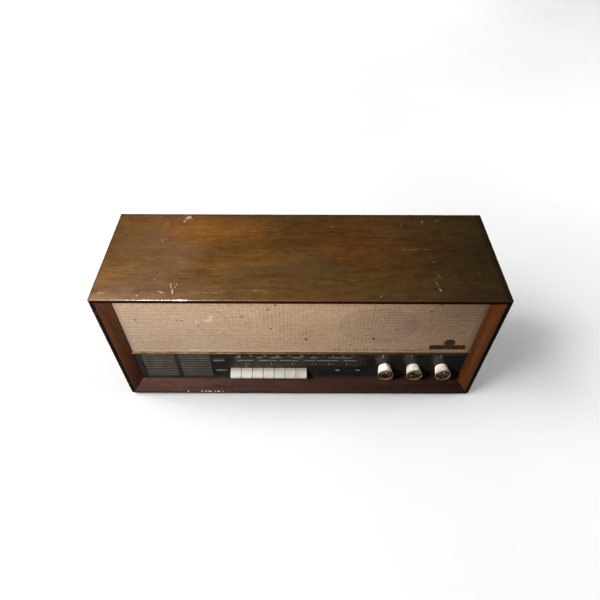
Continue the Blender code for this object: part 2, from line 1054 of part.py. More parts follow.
def build_cover_holes(bm):
    for low, high in VENT_ROWS:
        for i in range(VENT_COUNT):
            x = (i - (VENT_COUNT - 1) / 2) * VENT_PITCH
            add_box(bm, x - 2.2, x + 2.2, 84, 96, low, high)
    for x0, x1, z0, z1 in BAYS:
        add_box(bm, x0, x1, 84, 96, z0, z1)
    for x, z in SCREW_SPOTS:
        add_turned(bm, [(0, 84), (1.9, 84), (1.9, 96), (0, 96)], (x, z), "y", 12)
    add_turned(
        bm, [(0, 84), (6.0, 84), (6.0, 96), (0, 96)], (GLAND_X, GLAND_Z), "y", 20
    )


boolean(rear_cover, cutter("cover_holes", build_cover_holes))
turned(
    "mains_gland",
    [
        (3.6, 84.9),
        (8.0, 84.9),
        (8.0, 87.0),
        (5.7, 87.0),
        (5.7, 90.6),
        (8.0, 90.6),
        (7.4, 92.6),
        (5.6, 93.4),
        (3.6, 93.4),
    ],
    (GLAND_X, GLAND_Z),
    RUBBER,
    cabinet,
    "y",
    24,
)
for number, (x, z) in enumerate(SCREW_SPOTS):
    turned(
        f"rear_cover_screw_{number + 1}",
        [
            (0, 76.0),
            (1.4, 77.2),
            (1.5, 90.6),
            (3.3, 90.6),
            (3.0, 91.9),
            (1.8, 92.6),
            (0, 92.8),
        ],
        (x, z),
        STEEL,
        cabinet,
        "y",
        12,
    )
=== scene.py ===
"""Looks for the tabletop radio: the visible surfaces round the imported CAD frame, plus floor, lights and camera."""

import math
import random

import bmesh
import bpy
from mathutils import Matrix, Vector, noise


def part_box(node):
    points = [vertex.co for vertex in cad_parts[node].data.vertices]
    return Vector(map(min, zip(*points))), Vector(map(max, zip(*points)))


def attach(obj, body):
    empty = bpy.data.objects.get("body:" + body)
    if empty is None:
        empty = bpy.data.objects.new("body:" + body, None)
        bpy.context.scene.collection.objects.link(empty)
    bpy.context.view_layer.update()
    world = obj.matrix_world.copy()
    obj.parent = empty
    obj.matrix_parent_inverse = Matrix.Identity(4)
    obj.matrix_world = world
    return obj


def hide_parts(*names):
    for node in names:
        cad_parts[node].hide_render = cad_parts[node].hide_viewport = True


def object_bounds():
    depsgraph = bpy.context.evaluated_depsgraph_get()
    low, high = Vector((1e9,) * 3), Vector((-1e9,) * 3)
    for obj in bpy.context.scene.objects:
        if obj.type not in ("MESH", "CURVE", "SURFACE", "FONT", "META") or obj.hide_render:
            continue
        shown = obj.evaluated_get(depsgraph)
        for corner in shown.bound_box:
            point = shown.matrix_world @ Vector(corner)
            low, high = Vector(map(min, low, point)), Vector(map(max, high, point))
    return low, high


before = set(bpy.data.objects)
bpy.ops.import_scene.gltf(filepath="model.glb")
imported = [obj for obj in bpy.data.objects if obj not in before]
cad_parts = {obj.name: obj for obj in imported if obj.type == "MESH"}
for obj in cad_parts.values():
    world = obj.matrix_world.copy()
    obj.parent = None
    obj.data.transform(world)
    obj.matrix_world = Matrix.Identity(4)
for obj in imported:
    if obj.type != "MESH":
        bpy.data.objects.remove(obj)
cad_low, cad_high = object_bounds()
BODY = "cabinet"
MM = 0.001
rng = random.Random(7)

# ------------------------------------------------------------------ sizes read from the frame, in mm


def span(node):
    low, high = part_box(node)
    return [v * 1000 for v in (low.x, high.x, low.y, high.y, low.z, high.z)]


HALF_W = cad_high.x * 1000
Y_FRONT = span("cabinet_top")[2]
Y_BACK = span("cabinet_top")[3]
Z_TOP = span("cabinet_top")[5]
Z_LOW = span("cabinet_bottom")[4]
EDGE, SPLAY_IN, BOARD = 6.5, 20.0, 12.0
Y_LIP, Y_LIP_BACK, Y_REBATE, REBATE_EDGE = -76.0, -74.8, 87.0, 4.0
CORNER_R, CORNER_R_TOP = 5.0, 1.5


# ------------------------------------------------------------------ colour and node helpers


def lin(r, g, b):
    """An sRGB colour given as 0 to 255, as linear RGBA."""

    def one(v):
        v /= 255
        return v / 12.92 if v <= 0.04045 else ((v + 0.055) / 1.055) ** 2.4

    return (one(r), one(g), one(b), 1.0)


class Mat:
    """A small helper for building a Principled material out of nodes on object coordinates, in metres."""

    def __init__(self, name, **sockets):
        self.m = bpy.data.materials.new(name)
        self.m.use_nodes = True
        self.t = self.m.node_tree
        self.t.nodes.clear()
        self.out = self.add("ShaderNodeOutputMaterial")
        self.b = self.add("ShaderNodeBsdfPrincipled")
        self.link(self.b.outputs["BSDF"], self.out.inputs["Surface"])
        self.co = self.add("ShaderNodeTexCoord").outputs["Object"]
        for key, value in sockets.items():
            self.b.inputs[key.replace("_", " ")].default_value = value

    def add(self, kind, **props):
        node = self.t.nodes.new(kind)
        for key, value in props.items():
            setattr(node, key, value)
        return node

    def link(self, a, b):
        self.t.links.new(a, b)

    def feed(self, value, socket):
        if isinstance(value, bpy.types.NodeSocket):
            self.link(value, socket)
        else:
            socket.default_value = value

    def map(self, scale=(1, 1, 1), loc=(0, 0, 0), rot=(0, 0, 0), vec=None):
        node = self.add("ShaderNodeMapping")
        self.link(vec or self.co, node.inputs["Vector"])
        node.inputs["Scale"].default_value = scale
        node.inputs["Location"].default_value = loc
        node.inputs["Rotation"].default_value = rot
        return node.outputs["Vector"]

    def noise(self, vec, scale=1.0, detail=3.0, rough=0.55, distort=0.0):
        node = self.add("ShaderNodeTexNoise")
        self.link(vec, node.inputs["Vector"])
        node.inputs["Scale"].default_value = scale
        node.inputs["Detail"].default_value = detail
        node.inputs["Roughness"].default_value = rough
        node.inputs["Distortion"].default_value = distort
        return node.outputs["Fac"]

    def voronoi(self, vec, scale=1.0, feature="F1", random=1.0):
        node = self.add("ShaderNodeTexVoronoi", feature=feature)
        self.link(vec, node.inputs["Vector"])
        node.inputs["Scale"].default_value = scale
        node.inputs["Randomness"].default_value = random
        return node.outputs["Distance"]

    def wave(self, vec, scale=1.0, distort=0.0, detail=2.0, dscale=1.0, axis="X", profile="SIN"):
        node = self.add("ShaderNodeTexWave", bands_direction=axis, wave_profile=profile)
        self.link(vec, node.inputs["Vector"])
        node.inputs["Scale"].default_value = scale
        node.inputs["Distortion"].default_value = distort
        node.inputs["Detail"].default_value = detail
        node.inputs["Detail Scale"].default_value = dscale
        return node.outputs["Fac"]

    def ramp(self, fac, stops, mode="LINEAR"):
        node = self.add("ShaderNodeValToRGB")
        node.color_ramp.interpolation = mode
        marks = node.color_ramp.elements
        while len(marks) > len(stops):
            marks.remove(marks[-1])
        while len(marks) < len(stops):
            marks.new(1.0)
        for mark, (place, colour) in zip(marks, stops):
            mark.position = place
            mark.color = colour if len(colour) == 4 else (*colour, 1.0)
        self.link(fac, node.inputs["Fac"])
        return node.outputs["Color"]

    def band(self, value, low, high, to_low=0.0, to_high=1.0, smooth=True):
        node = self.add("ShaderNodeMapRange")
        node.interpolation_type = "SMOOTHSTEP" if smooth else "LINEAR"
        self.feed(value, node.inputs["Value"])
        node.inputs["From Min"].default_value = low
        node.inputs["From Max"].default_value = high
        node.inputs["To Min"].default_value = to_low
        node.inputs["To Max"].default_value = to_high
        return node.outputs["Result"]

    def math(self, op, a, b=0.0, c=0.0, clamp=False):
        node = self.add("ShaderNodeMath", operation=op)
        node.use_clamp = clamp
        for value, socket in zip((a, b, c), node.inputs):
            self.feed(value, socket)
        return node.outputs[0]

    def mix(self, fac, a, b, blend="MIX"):
        node = self.add("ShaderNodeMix", data_type="RGBA", blend_type=blend)
        self.feed(fac, node.inputs[0])
        self.feed(a, node.inputs[6])
        self.feed(b, node.inputs[7])
        return node.outputs[2]

    def xyz(self, vec=None):
        node = self.add("ShaderNodeSeparateXYZ")
        self.link(vec or self.co, node.inputs[0])
        return node.outputs

    def bump(self, height, strength=0.3, distance=0.001, normal=None):
        node = self.add("ShaderNodeBump")
        node.inputs["Strength"].default_value = strength
        node.inputs["Distance"].default_value = distance
        self.link(height, node.inputs["Height"])
        if normal:
            self.link(normal, node.inputs["Normal"])
        return node.outputs["Normal"]

    def colour(self, value):
        self.feed(value, self.b.inputs["Base Color"])

    def rough(self, value):
        self.feed(value, self.b.inputs["Roughness"])

    def normal(self, value):
        self.link(value, self.b.inputs["Normal"])

    def spot(self, centre, radii, turn=0.0, soft=0.4, plane="xy"):
        """1 inside an ellipse round centre (mm), falling to 0 at its edge. plane names the two axes."""
        axes = {"xy": (0, 1), "xz": (0, 2), "yz": (1, 2)}[plane]
        out = self.xyz()
        u = self.math("SUBTRACT", out[axes[0]], centre[0] * MM)
        v = self.math("SUBTRACT", out[axes[1]], centre[1] * MM)
        c, s = math.cos(turn), math.sin(turn)
        a = self.math("ADD", self.math("MULTIPLY", u, c), self.math("MULTIPLY", v, s))
        b = self.math("SUBTRACT", self.math("MULTIPLY", v, c), self.math("MULTIPLY", u, s))
        a = self.math("MULTIPLY", a, 1 / (radii[0] * MM))
        b = self.math("MULTIPLY", b, 1 / (radii[1] * MM))
        d = self.math("ADD", self.math("MULTIPLY", a, a), self.math("MULTIPLY", b, b))
        return self.band(d, 1.0 - soft, 1.0, 1.0, 0.0)


# ------------------------------------------------------------------ mesh helpers


def make(name, bm, mats, body=BODY, sharp=35, stands_for=(), at=(0, 0, 0), double=1e-5):
    """A piece from a bmesh in millimetres in the row frame. at is its origin, in mm."""
    bmesh.ops.remove_doubles(bm, verts=bm.verts, dist=double)
    loose = [v for v in bm.verts if not v.link_faces]
    if loose:
        bmesh.ops.delete(bm, geom=loose, context="VERTS")
    bmesh.ops.recalc_face_normals(bm, faces=bm.faces)
    bmesh.ops.translate(bm, verts=bm.verts, vec=-Vector(at))
    bmesh.ops.scale(bm, verts=bm.verts, vec=(MM, MM, MM))
    mesh = bpy.data.meshes.new(name)
    bm.to_mesh(mesh)
    bm.free()
    for mat in mats if isinstance(mats, (list, tuple)) else [mats]:
        mesh.materials.append(mat.m if isinstance(mat, Mat) else mat)
    if sharp:
        mesh.shade_smooth()
        mesh.set_sharp_from_angle(angle=math.radians(sharp))
    obj = bpy.data.objects.new(name, mesh)
    obj.location = Vector(at) * MM
    bpy.context.scene.collection.objects.link(obj)
    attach(obj, body)
    if stands_for:
        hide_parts(*stands_for)
    return obj


def apply_modifiers(obj):
    dg = bpy.context.evaluated_depsgraph_get()
    made = bpy.data.meshes.new_from_object(obj.evaluated_get(dg))
    old = obj.data
    obj.modifiers.clear()
    obj.data = made
    bpy.data.meshes.remove(old)


def fillet(points, radii, steps=4, closed=True):
    """A polygon with its corners rounded. radii has one radius for each corner."""
    out = []
    count = len(points)
    for i, (p, r) in enumerate(zip(points, radii)):
        p = Vector(p)
        if r <= 0 or (not closed and i in (0, count - 1)):
            out.append(tuple(p))
            continue
        a = (Vector(points[i - 1]) - p).normalized()
        b = (Vector(points[(i + 1) % count]) - p).normalized()
        half = a.angle(b) / 2
        reach = min(
            r / math.tan(half),
            (Vector(points[i - 1]) - p).length * 0.48,
            (Vector(points[(i + 1) % count]) - p).length * 0.48,
        )
        r2 = reach * math.tan(half)
        centre = p + (a + b).normalized() * (r2 / math.sin(half))
        start, stop = p + a * reach - centre, p + b * reach - centre
        turn = start.angle_signed(stop)
        for k in range(steps + 1):
            t = -turn * k / steps
            c, s = math.cos(t), math.sin(t)
            out.append(
                (centre.x + start.x * c - start.y * s, centre.y + start.x * s + start.y * c)
            )
    return out


def loft(bm, rings, mats=None, closed_ring=True, cap=True, cap_mat=0):
    """Faces between rings of points. mats gives a material index for each segment of the ring."""
    rows = [[bm.verts.new(p) for p in ring] for ring in rings]
    count = len(rings[0])
    last = count if closed_ring else count - 1
    for a, b in zip(rows[:-1], rows[1:]):
        for i in range(last):
            j = (i + 1) % count
            try:
                f = bm.faces.new((a[i], a[j], b[j], b[i]))
            except ValueError:
                continue
            if mats:
                f.material_index = mats[i]
    if cap:
        for row in (rows[0], rows[-1]):
            f = bm.faces.new(row)
            f.material_index = cap_mat
    return rows


def turned(bm, profile, centre, axis="y", steps=48, mod=None, arc=None, mats=None):
    """Turns (radius, height) pairs about an axis. mod(r, h, angle) may change the radius."""
    rings = []
    for i in range(steps):
        t = 2 * math.pi * i / steps
        ring = []
        for r, h in profile:
            rr = mod(r, h, t) if mod else r
            a, b = rr * math.cos(t), rr * math.sin(t)
            if axis == "y":
                ring.append((centre[0] + a, h, centre[1] + b))
            elif axis == "z":
                ring.append((centre[0] + a, centre[1] + b, h))
            else:
                ring.append((h, centre[0] + a, centre[1] + b))
        rings.append([bm.verts.new(p) for p in ring])
    ring_closed = profile[0][0] > 1e-6 and profile[-1][0] > 1e-6
    count = len(profile)
    for i in range(steps):
        one, two = rings[i], rings[(i + 1) % steps]
        for k in range(count if ring_closed else count - 1):
            j = (k + 1) % count
            f = bm.faces.new((one[k], one[j], two[j], two[k]))
            if mats:
                f.material_index = mats[k]
    bmesh.ops.remove_doubles(bm, verts=bm.verts, dist=1e-5)


def dissolve_thin(bm):
    bmesh.ops.dissolve_degenerate(bm, edges=bm.edges, dist=1e-4)


def rounded_box(bm, x0, x1, y0, y1, z0, z1, r=0.4, steps=3):
    """A box whose 12 edges are bevelled."""
    made = bmesh.ops.create_cube(bm, size=1.0)
    verts = made["verts"]
    bmesh.ops.scale(bm, verts=verts, vec=(x1 - x0, y1 - y0, z1 - z0))
    bmesh.ops.translate(bm, verts=verts, vec=((x0 + x1) / 2, (y0 + y1) / 2, (z0 + z1) / 2))
    edges = list({e for v in verts for e in v.link_edges})
    bmesh.ops.bevel(
        bm, geom=edges, offset=r, offset_type="OFFSET", segments=steps, profile=0.5, affect="EDGES"
    )


# ------------------------------------------------------------------ materials


def scratches(m, vec, angle, density, width, stretch=26.0, seed=0.0):
    """Thin broken hairlines that run along one angle in the XY plane."""
    v = m.map(rot=(0, 0, angle), vec=vec)
    v = m.map(scale=(density, density * stretch, density), loc=(seed, seed * 2, 0), vec=v)
    n = m.noise(v, 1.0, 1.0, 0.4, 0.4)
    return m.band(m.math("ABSOLUTE", m.math("SUBTRACT", n, 0.5)), 0.0, width, 1.0, 0.0)


def walnut(name, grain="x", tone=1.0, wear=True):
    """Figured veneer under an old semi-gloss varnish. grain is the axis the fibres run along."""
    m = Mat(name)
    turn = {"x": (0, 0, 0), "z": (0, math.pi / 2, 0), "y": (0, 0, math.pi / 2)}[grain]
    base = m.map(rot=turn)
    sway = m.noise(m.map(scale=(1.1, 5, 5), vec=base), 1.0, 2.0, 0.5)
    bent = m.add("ShaderNodeVectorMath", operation="ADD")
    m.link(base, bent.inputs[0])
    shift = m.add("ShaderNodeCombineXYZ")
    m.link(m.math("MULTIPLY", m.math("SUBTRACT", sway, 0.5), 0.05), shift.inputs[1])
    m.link(m.math("MULTIPLY", m.math("SUBTRACT", sway, 0.5), 0.05), shift.inputs[2])
    m.link(shift.outputs[0], bent.inputs[1])
    g = bent.outputs[0]
    broad = m.noise(m.map(scale=(2.6, 17, 17), vec=g), 1.0, 4.0, 0.62, 0.5)
    mid = m.noise(m.map(scale=(30, 215, 215), loc=(3, 1, 2), vec=g), 1.0, 5.0, 0.7, 0.4)
    fine = m.noise(m.map(scale=(85, 640, 640), loc=(1, 7, 4), vec=g), 1.0, 3.0, 0.6)
    pore = m.noise(m.map(scale=(70, 1500, 1500), loc=(5, 2, 9), vec=g), 1.0, 1.0, 0.5)
    patch = m.noise(m.map(scale=(3.1, 5.5, 5.5), loc=(0.4, 1.1, 0.2)), 1.0, 2.0, 0.5)

    k = tone
    body = m.ramp(
        broad,
        [
            (0.26, (0.070 * k, 0.0350 * k, 0.0105 * k)),
            (0.44, (0.104 * k, 0.0500 * k, 0.0125 * k)),
            (0.58, (0.138 * k, 0.0660 * k, 0.0160 * k)),
            (0.76, (0.150 * k, 0.0800 * k, 0.0235 * k)),
        ],
    )
    streak = m.ramp(mid, [(0.30, (0.72, 0.73, 0.75)), (0.5, (0.97, 0.97, 0.97)), (0.70, (1.20, 1.20, 1.20))])
    body = m.mix(0.85, body, streak, "MULTIPLY")
    fibre = m.ramp(fine, [(0.30, (0.70, 0.70, 0.70)), (0.52, (1.0, 1.0, 1.0)), (0.72, (1.24, 1.24, 1.22))])
    body = m.mix(0.8, body, fibre, "MULTIPLY")
    mottle = m.noise(m.map(scale=(55, 70, 70), loc=(8, 8, 8)), 1.0, 4.0, 0.65)
    body = m.mix(1.0, body, m.ramp(mottle, [(0.3, (0.82, 0.82, 0.84)), (0.5, (1.0, 1.0, 1.0)), (0.7, (1.18, 1.16, 1.14))]), "MULTIPLY")
    # orange and olive patches of the veneer
    warm = m.mix(m.band(patch, 0.46, 0.72), (1, 1, 1, 1), (1.42, 1.10, 0.82, 1))
    body = m.mix(1.0, body, warm, "MULTIPLY")
    cool = m.mix(m.band(patch, 0.46, 0.26), (1, 1, 1, 1), (0.80, 0.86, 0.84, 1))
    body = m.mix(1.0, body, cool, "MULTIPLY")
    # open pores, short and dark
    holes = m.band(pore, 0.66, 0.72)
    body = m.mix(m.math("MULTIPLY", holes, 0.5), body, (0.018, 0.008, 0.004, 1))
    gloss = m.band(mid, 0.3, 0.7, 0.40, 0.50)
    height = m.math("ADD", m.math("MULTIPLY", fine, 0.5), m.math("MULTIPLY", holes, -1.0))
    return m, body, gloss, height, base


def finish_wood(m, body, gloss, height, coat=0.18, strength=0.22):
    m.colour(body)
    m.rough(gloss)
    m.normal(m.bump(height, strength, 0.0003))
    m.b.inputs["Coat Weight"].default_value = coat
    m.b.inputs["Coat Roughness"].default_value = 0.22
    m.b.inputs["Specular IOR Level"].default_value = 0.45
    return m


def top_wood():
    m, body, gloss, height, base = walnut("walnut_top_veneer")
    out = m.xyz()
    # wide patches of the lid: olive to the right and rear; the amber brightening at the middle left is a painted pool
    # of light, and the grey at the left end a painted sheen
    side = m.band(out[0], 0.02, 0.24)
    body = m.mix(side, body, m.mix(1.0, body, (0.82, 0.95, 0.98, 1), "MULTIPLY"))
    middle = m.spot((20, 25), (95, 90), 0.0, 0.98)
    body = m.mix(m.math("MULTIPLY", middle, 0.8), body, m.mix(1.0, body, (0.78, 0.80, 0.72, 1), "MULTIPLY"))
    blotch = m.noise(m.map(scale=(6, 9, 6), loc=(5, 2, 0)), 1.0, 3.0, 0.55)
    # painted light: a brighter amber pool at the middle left, where the lamp falls
    lamp_pool_paint = m.math("MULTIPLY", m.spot((-115, 25), (120, 75), 0.05, 0.95), m.band(blotch, 0.3, 0.6, 0.4, 1.0))
    body = m.mix(m.math("MULTIPLY", lamp_pool_paint, 0.75), body, m.mix(1.0, body, (1.78, 1.40, 0.80, 1), "MULTIPLY"))
    amber = m.spot((70, 35), (75, 50), 0.1, 0.95)
    body = m.mix(m.math("MULTIPLY", amber, 0.0), body, m.mix(1.0, body, (1.30, 0.98, 0.60, 1), "MULTIPLY"))
    # painted sheen: a greyer patch at the left end, nearest the lamp
    grey = m.math("MULTIPLY", m.spot((-215, 20), (85, 110), 0.0, 0.95), m.band(blotch, 0.35, 0.62, 1.0, 0.35))
    body = m.mix(m.math("MULTIPLY", grey, 0.30), body, lin(128, 104, 82))
    dark_band = m.spot((-190, -52), (85, 20), 0.03, 0.95)
    body = m.mix(m.math("MULTIPLY", dark_band, 0.30), body, m.mix(1.0, body, (0.62, 0.60, 0.66, 1), "MULTIPLY"))
    smoke = m.spot((10, -30), (70, 25), 0.0, 0.95)
    body = m.mix(m.math("MULTIPLY", smoke, 0.16), body, lin(112, 88, 58))
    # a pale haze along the front left edge and the left end: a painted sheen of the lamp, broken up by a scuff noise
    lamp_sheen_mask = m.math("MULTIPLY", m.band(out[1], -0.030, -0.090), m.band(out[0], -0.05, -0.24))
    rub = m.noise(m.map(scale=(30, 45, 30)), 1.0, 4.0, 0.6)
    lamp_sheen_mask = m.math("MULTIPLY", lamp_sheen_mask, m.band(rub, 0.35, 0.7, 0.3, 1.0))
    body = m.mix(m.math("MULTIPLY", lamp_sheen_mask, 0.34), body, lin(140, 112, 96))
    # darker rims along the rear edge, the left end and, broader, the right end: painted shade where the edges turn
    # away from the lamp
    rim = m.math("MAXIMUM", m.math("MULTIPLY", m.band(out[1], 0.0890, 0.0925), 0.72), m.math("MULTIPLY", m.band(out[0], -0.2880, -0.2905), 0.60))
    rim = m.math("MAXIMUM", rim, m.math("MULTIPLY", m.band(out[0], 0.2780, 0.2895), 0.62))
    body = m.mix(rim, body, (0.010, 0.0065, 0.0040, 1))
    # fine hairlines all over, thicker at the left
    hair = m.math(
        "MAXIMUM",
        scratches(m, m.co, 0.5, 16, 0.010, 22, 1.3),
        m.math("MAXIMUM", scratches(m, m.co, -0.9, 13, 0.009, 24, 4.1), scratches(m, m.co, 1.9, 15, 0.008, 20, 7.7)),
    )
    where = m.noise(m.map(scale=(9, 14, 9), loc=(2, 3, 1)), 1.0, 3.0, 0.6)
    hair = m.math("MULTIPLY", hair, m.band(where, 0.52, 0.68))
    body = m.mix(m.math("MULTIPLY", hair, 0.16), body, lin(150, 124, 96))
    # chips, dents and scuffs in their places
    crumble = m.noise(m.map(scale=(260, 260, 260)), 1.0, 3.0, 0.6)
    jag = m.band(crumble, 0.42, 0.56)
    chips = None
    for centre, radii, turn, power in (
        ((-180, 84), (5.2, 6.5), -0.5, 0.95),
        ((-185, 76), (2.0, 4.5), -0.3, 0.75),
        ((-173, 80), (2.0, 1.6), 0.2, 0.6),
        ((-207, -53.5), (1.3, 1.5), 0.0, 1.2),
        ((-225, -85.5), (1.2, 1.2), 0.0, 0.9),
        ((-181.5, -67), (0.9, 6.0), 0.3, 0.85),
        ((-174.5, -67), (0.8, 5.0), -0.3, 0.85),
        ((-177.5, -78), (1.1, 7.0), 0.1, 0.9),
        ((-276, -81), (7.0, 1.1), 0.15, 0.5),
        ((-193, -79), (5.5, 1.6), -0.35, 0.45),
        ((110.5, -85.5), (1.5, 1.6), 0.0, 1.0),
        ((194, -73), (2.1, 3.6), 0.2, 0.9),
        ((192, -62), (1.0, 6.5), 0.25, 0.55),
        ((193, -50), (1.2, 2.2), 0.0, 0.5),
        ((197, -45), (1.0, 9.0), 0.5, 0.3),
        ((196, -17), (5.0, 1.4), 0.2, 0.3),
        ((165, 10), (15.0, 0.7), 0.02, 0.45),
        ((190, 10), (7.0, 0.7), 0.0, 0.35),
        ((193.6, 75), (1.9, 4.0), -0.4, 0.6),
        ((218, 78), (3.2, 2.0), 0.2, 0.5),
        ((224, 44), (1.6, 1.6), 0.0, 0.6),
        ((159, 66), (2.0, 1.2), 0.0, 0.45),
        ((257, -41), (1.3, 3.4), 0.0, 0.4),
        ((-212, 30), (1.2, 7.0), 0.2, 0.35),
        ((-206, 34), (1.0, 6.0), -0.3, 0.3),
        ((-210, 68), (1.4, 4.0), 0.3, 0.4),
        ((50, 62), (3.0, 3.2), 0.0, 0.25),
        ((-60, -75), (14.0, 0.7), 0.02, 0.25),
        ((-120, -80), (18.0, 0.7), 0.0, 0.25),
    ):
        one = m.math("MULTIPLY", m.spot(centre, radii, turn, 0.6), power)
        chips = one if chips is None else m.math("MAXIMUM", chips, one)
    chips = m.math("MULTIPLY", chips, jag)
    body = m.mix(chips, body, lin(205, 186, 160))
    # a faint ring left by a pot, at the right
    out = m.xyz()
    dx = m.math("SUBTRACT", out[0], 0.193)
    dy = m.math("SUBTRACT", out[1], -0.048)
    ring = m.math("SQRT", m.math("ADD", m.math("MULTIPLY", dx, dx), m.math("MULTIPLY", dy, dy)))
    ring = m.math("ABSOLUTE", m.math("SUBTRACT", ring, 0.030))
    ring = m.math("MULTIPLY", m.band(ring, 0.0, 0.0014, 1.0, 0.0), m.band(rub, 0.48, 0.68))
    body = m.mix(m.math("MULTIPLY", ring, 0.14), body, lin(150, 126, 96))
    # dust
    dust = m.voronoi(m.map(scale=(1, 1, 1)), 95.0)
    dust = m.math("MULTIPLY", m.band(dust, 0.040, 0.018), m.band(m.noise(m.map(scale=(60, 60, 60)), 1.0, 2.0), 0.52, 0.6))
    body = m.mix(m.math("MULTIPLY", dust, 0.55), body, lin(196, 182, 160))
    gloss = m.math("ADD", gloss, m.math("MULTIPLY", m.math("ADD", lamp_sheen_mask, chips), 0.18))
    gloss = m.math("ADD", gloss, m.math("MULTIPLY", hair, 0.12))
    height = m.math("SUBTRACT", height, m.math("MULTIPLY", chips, 2.5))
    height = m.math("SUBTRACT", height, m.math("MULTIPLY", hair, 0.5))
    return finish_wood(m, body, gloss, height, 0.16, 0.25)


def side_wood(name, grain, tone):
    m, body, gloss, height, base = walnut(name, grain, tone)
    rub = m.noise(m.map(scale=(40, 40, 40), loc=(4, 4, 4)), 1.0, 4.0, 0.6)
    hair = m.math("MULTIPLY", scratches(m, m.map(rot=(0, math.pi / 2, 0)), 0.7, 14, 0.009, 22, 2.0), m.band(rub, 0.5, 0.66))
    body = m.mix(m.math("MULTIPLY", hair, 0.3), body, lin(160, 130, 100))
    foot = m.band(m.xyz()[2], 0.030, 0.004)
    body = m.mix(m.math("MULTIPLY", foot, m.band(rub, 0.4, 0.7, 0.0, 0.5)), body, lin(128, 98, 74))
    return finish_wood(m, body, gloss, height, 0.16, 0.22)


def painted_light_across(m, body, ends):
    """Painted light across the case: tint body by the first factor at the lit left end, and by the second at the
    shaded right end.
    """
    left, right = (m.mix(1.0, body, tuple(e) + (1,), "MULTIPLY") for e in ends)
    return m.mix(m.band(m.xyz()[0], -0.20, 0.27, smooth=False), left, right)


def moulding(name, grain, low, high, rough=0.5, coat=0.06, ends=None):
    """Stained hardwood of the splayed frame: red-brown and close-grained, under thin worn varnish."""
    m = Mat(name)
    turn = {"x": (0, 0, 0), "z": (0, math.pi / 2, 0)}[grain]
    g = m.map(rot=turn)
    broad = m.noise(m.map(scale=(4.0, 60, 60), loc=(2, 0, 5), vec=g), 1.0, 4.0, 0.6, 0.4)
    fine = m.noise(m.map(scale=(40, 800, 800), loc=(1, 4, 2), vec=g), 1.0, 3.0, 0.6)
    patch = m.noise(m.map(scale=(9, 9, 9), loc=(1, 1, 5)), 1.0, 2.0, 0.5)
    mid = tuple((a * b) ** 0.5 for a, b in zip(low, high))
    body = m.ramp(broad, [(0.28, low), (0.5, mid), (0.74, high)])
    body = m.mix(m.band(patch, 0.35, 0.7), body, m.mix(1.0, body, (1.35, 1.12, 0.85, 1), "MULTIPLY"))
    fibre = m.ramp(fine, [(0.3, (0.66, 0.64, 0.62)), (0.6, (1.05, 1.05, 1.05))])
    body = m.mix(0.6, body, fibre, "MULTIPLY")
    rub = m.noise(m.map(scale=(55, 90, 90), loc=(6, 2, 2)), 1.0, 4.0, 0.65)
    dirt = m.band(rub, 0.62, 0.78)
    body = m.mix(m.math("MULTIPLY", dirt, 0.12), body, lin(104, 80, 66))
    if ends:
        body = painted_light_across(m, body, ends)
    m.colour(body)
    m.rough(m.band(rub, 0.3, 0.75, rough * 0.85, rough * 1.15))
    m.b.inputs["Coat Weight"].default_value = coat
    m.b.inputs["Coat Roughness"].default_value = 0.16
    m.b.inputs["Specular IOR Level"].default_value = 0.3
    m.normal(m.bump(m.math("ADD", fine, m.math("MULTIPLY", rub, 0.8)), 0.28, 0.00035))
    return m


def frame_edge(name, grain, low, high, coat=0.12, specks=(), ends=None):
    """The square front edge: nearly black lacquer, rubbed through to wood in a few places."""
    m = Mat(name)
    turn = {"x": (0, 0, 0), "z": (0, math.pi / 2, 0)}[grain]
    g = m.map(rot=turn)
    fibre = m.noise(m.map(scale=(20, 420, 420), vec=g), 1.0, 3.0, 0.6)
    rub = m.noise(m.map(scale=(38, 120, 120), loc=(3, 1, 8), vec=g), 1.0, 4.0, 0.65)
    body = m.ramp(fibre, [(0.3, low), (0.7, high)])
    bare = m.band(rub, 0.64, 0.72)
    body = m.mix(m.math("MULTIPLY", bare, 0.6), body, lin(104, 62, 38))
    if ends:
        body = painted_light_across(m, body, ends)
    # specks: painted glints, near-white spots on the edge
    for centre, radii, power in specks:
        body = m.mix(m.math("MULTIPLY", m.spot(centre, radii, 0.0, 0.5, "xz"), power), body, lin(246, 232, 214))
    m.colour(body)
    m.rough(m.band(rub, 0.3, 0.7, 0.26, 0.42))
    m.b.inputs["Coat Weight"].default_value = coat
    m.b.inputs["Coat Roughness"].default_value = 0.14
    m.b.inputs["Specular IOR Level"].default_value = 0.3
    m.normal(m.bump(m.math("ADD", fibre, rub), 0.25, 0.0004))
    return m


def arris(name, low, high, rough, coat, specks=()):
    """The rounded front edge, lighter and glossy, its lighter colour partly a painted highlight, broken up by small
    dents. specks are painted glints.
    """
    m = Mat(name)
    fibre = m.noise(m.map(scale=(30, 500, 500)), 1.0, 3.0, 0.6)
    dent = m.noise(m.map(scale=(420, 300, 300), loc=(2, 0, 0)), 1.0, 3.0, 0.6)
    wear = m.noise(m.map(scale=(16, 60, 60), loc=(1, 6, 2)), 1.0, 3.0, 0.6)
    body = m.ramp(wear, [(0.3, low), (0.7, high)])
    # painted glints, broken up by the dents
    for centre, radii, power in specks:
        one = m.math("MULTIPLY", m.spot(centre, radii, 0.0, 0.8, "xz"), m.band(dent, 0.36, 0.56, 0.25, 1.0))
        body = m.mix(m.math("MULTIPLY", one, power), body, lin(252, 240, 224))
    m.colour(body)
    m.rough(m.band(dent, 0.3, 0.75, rough * 0.8, rough * 1.3))
    m.b.inputs["Coat Weight"].default_value = coat
    m.b.inputs["Coat Roughness"].default_value = 0.13
    m.b.inputs["Specular IOR Level"].default_value = 0.6
    m.normal(m.bump(m.math("ADD", fibre, dent), 0.35, 0.00030))
    return m


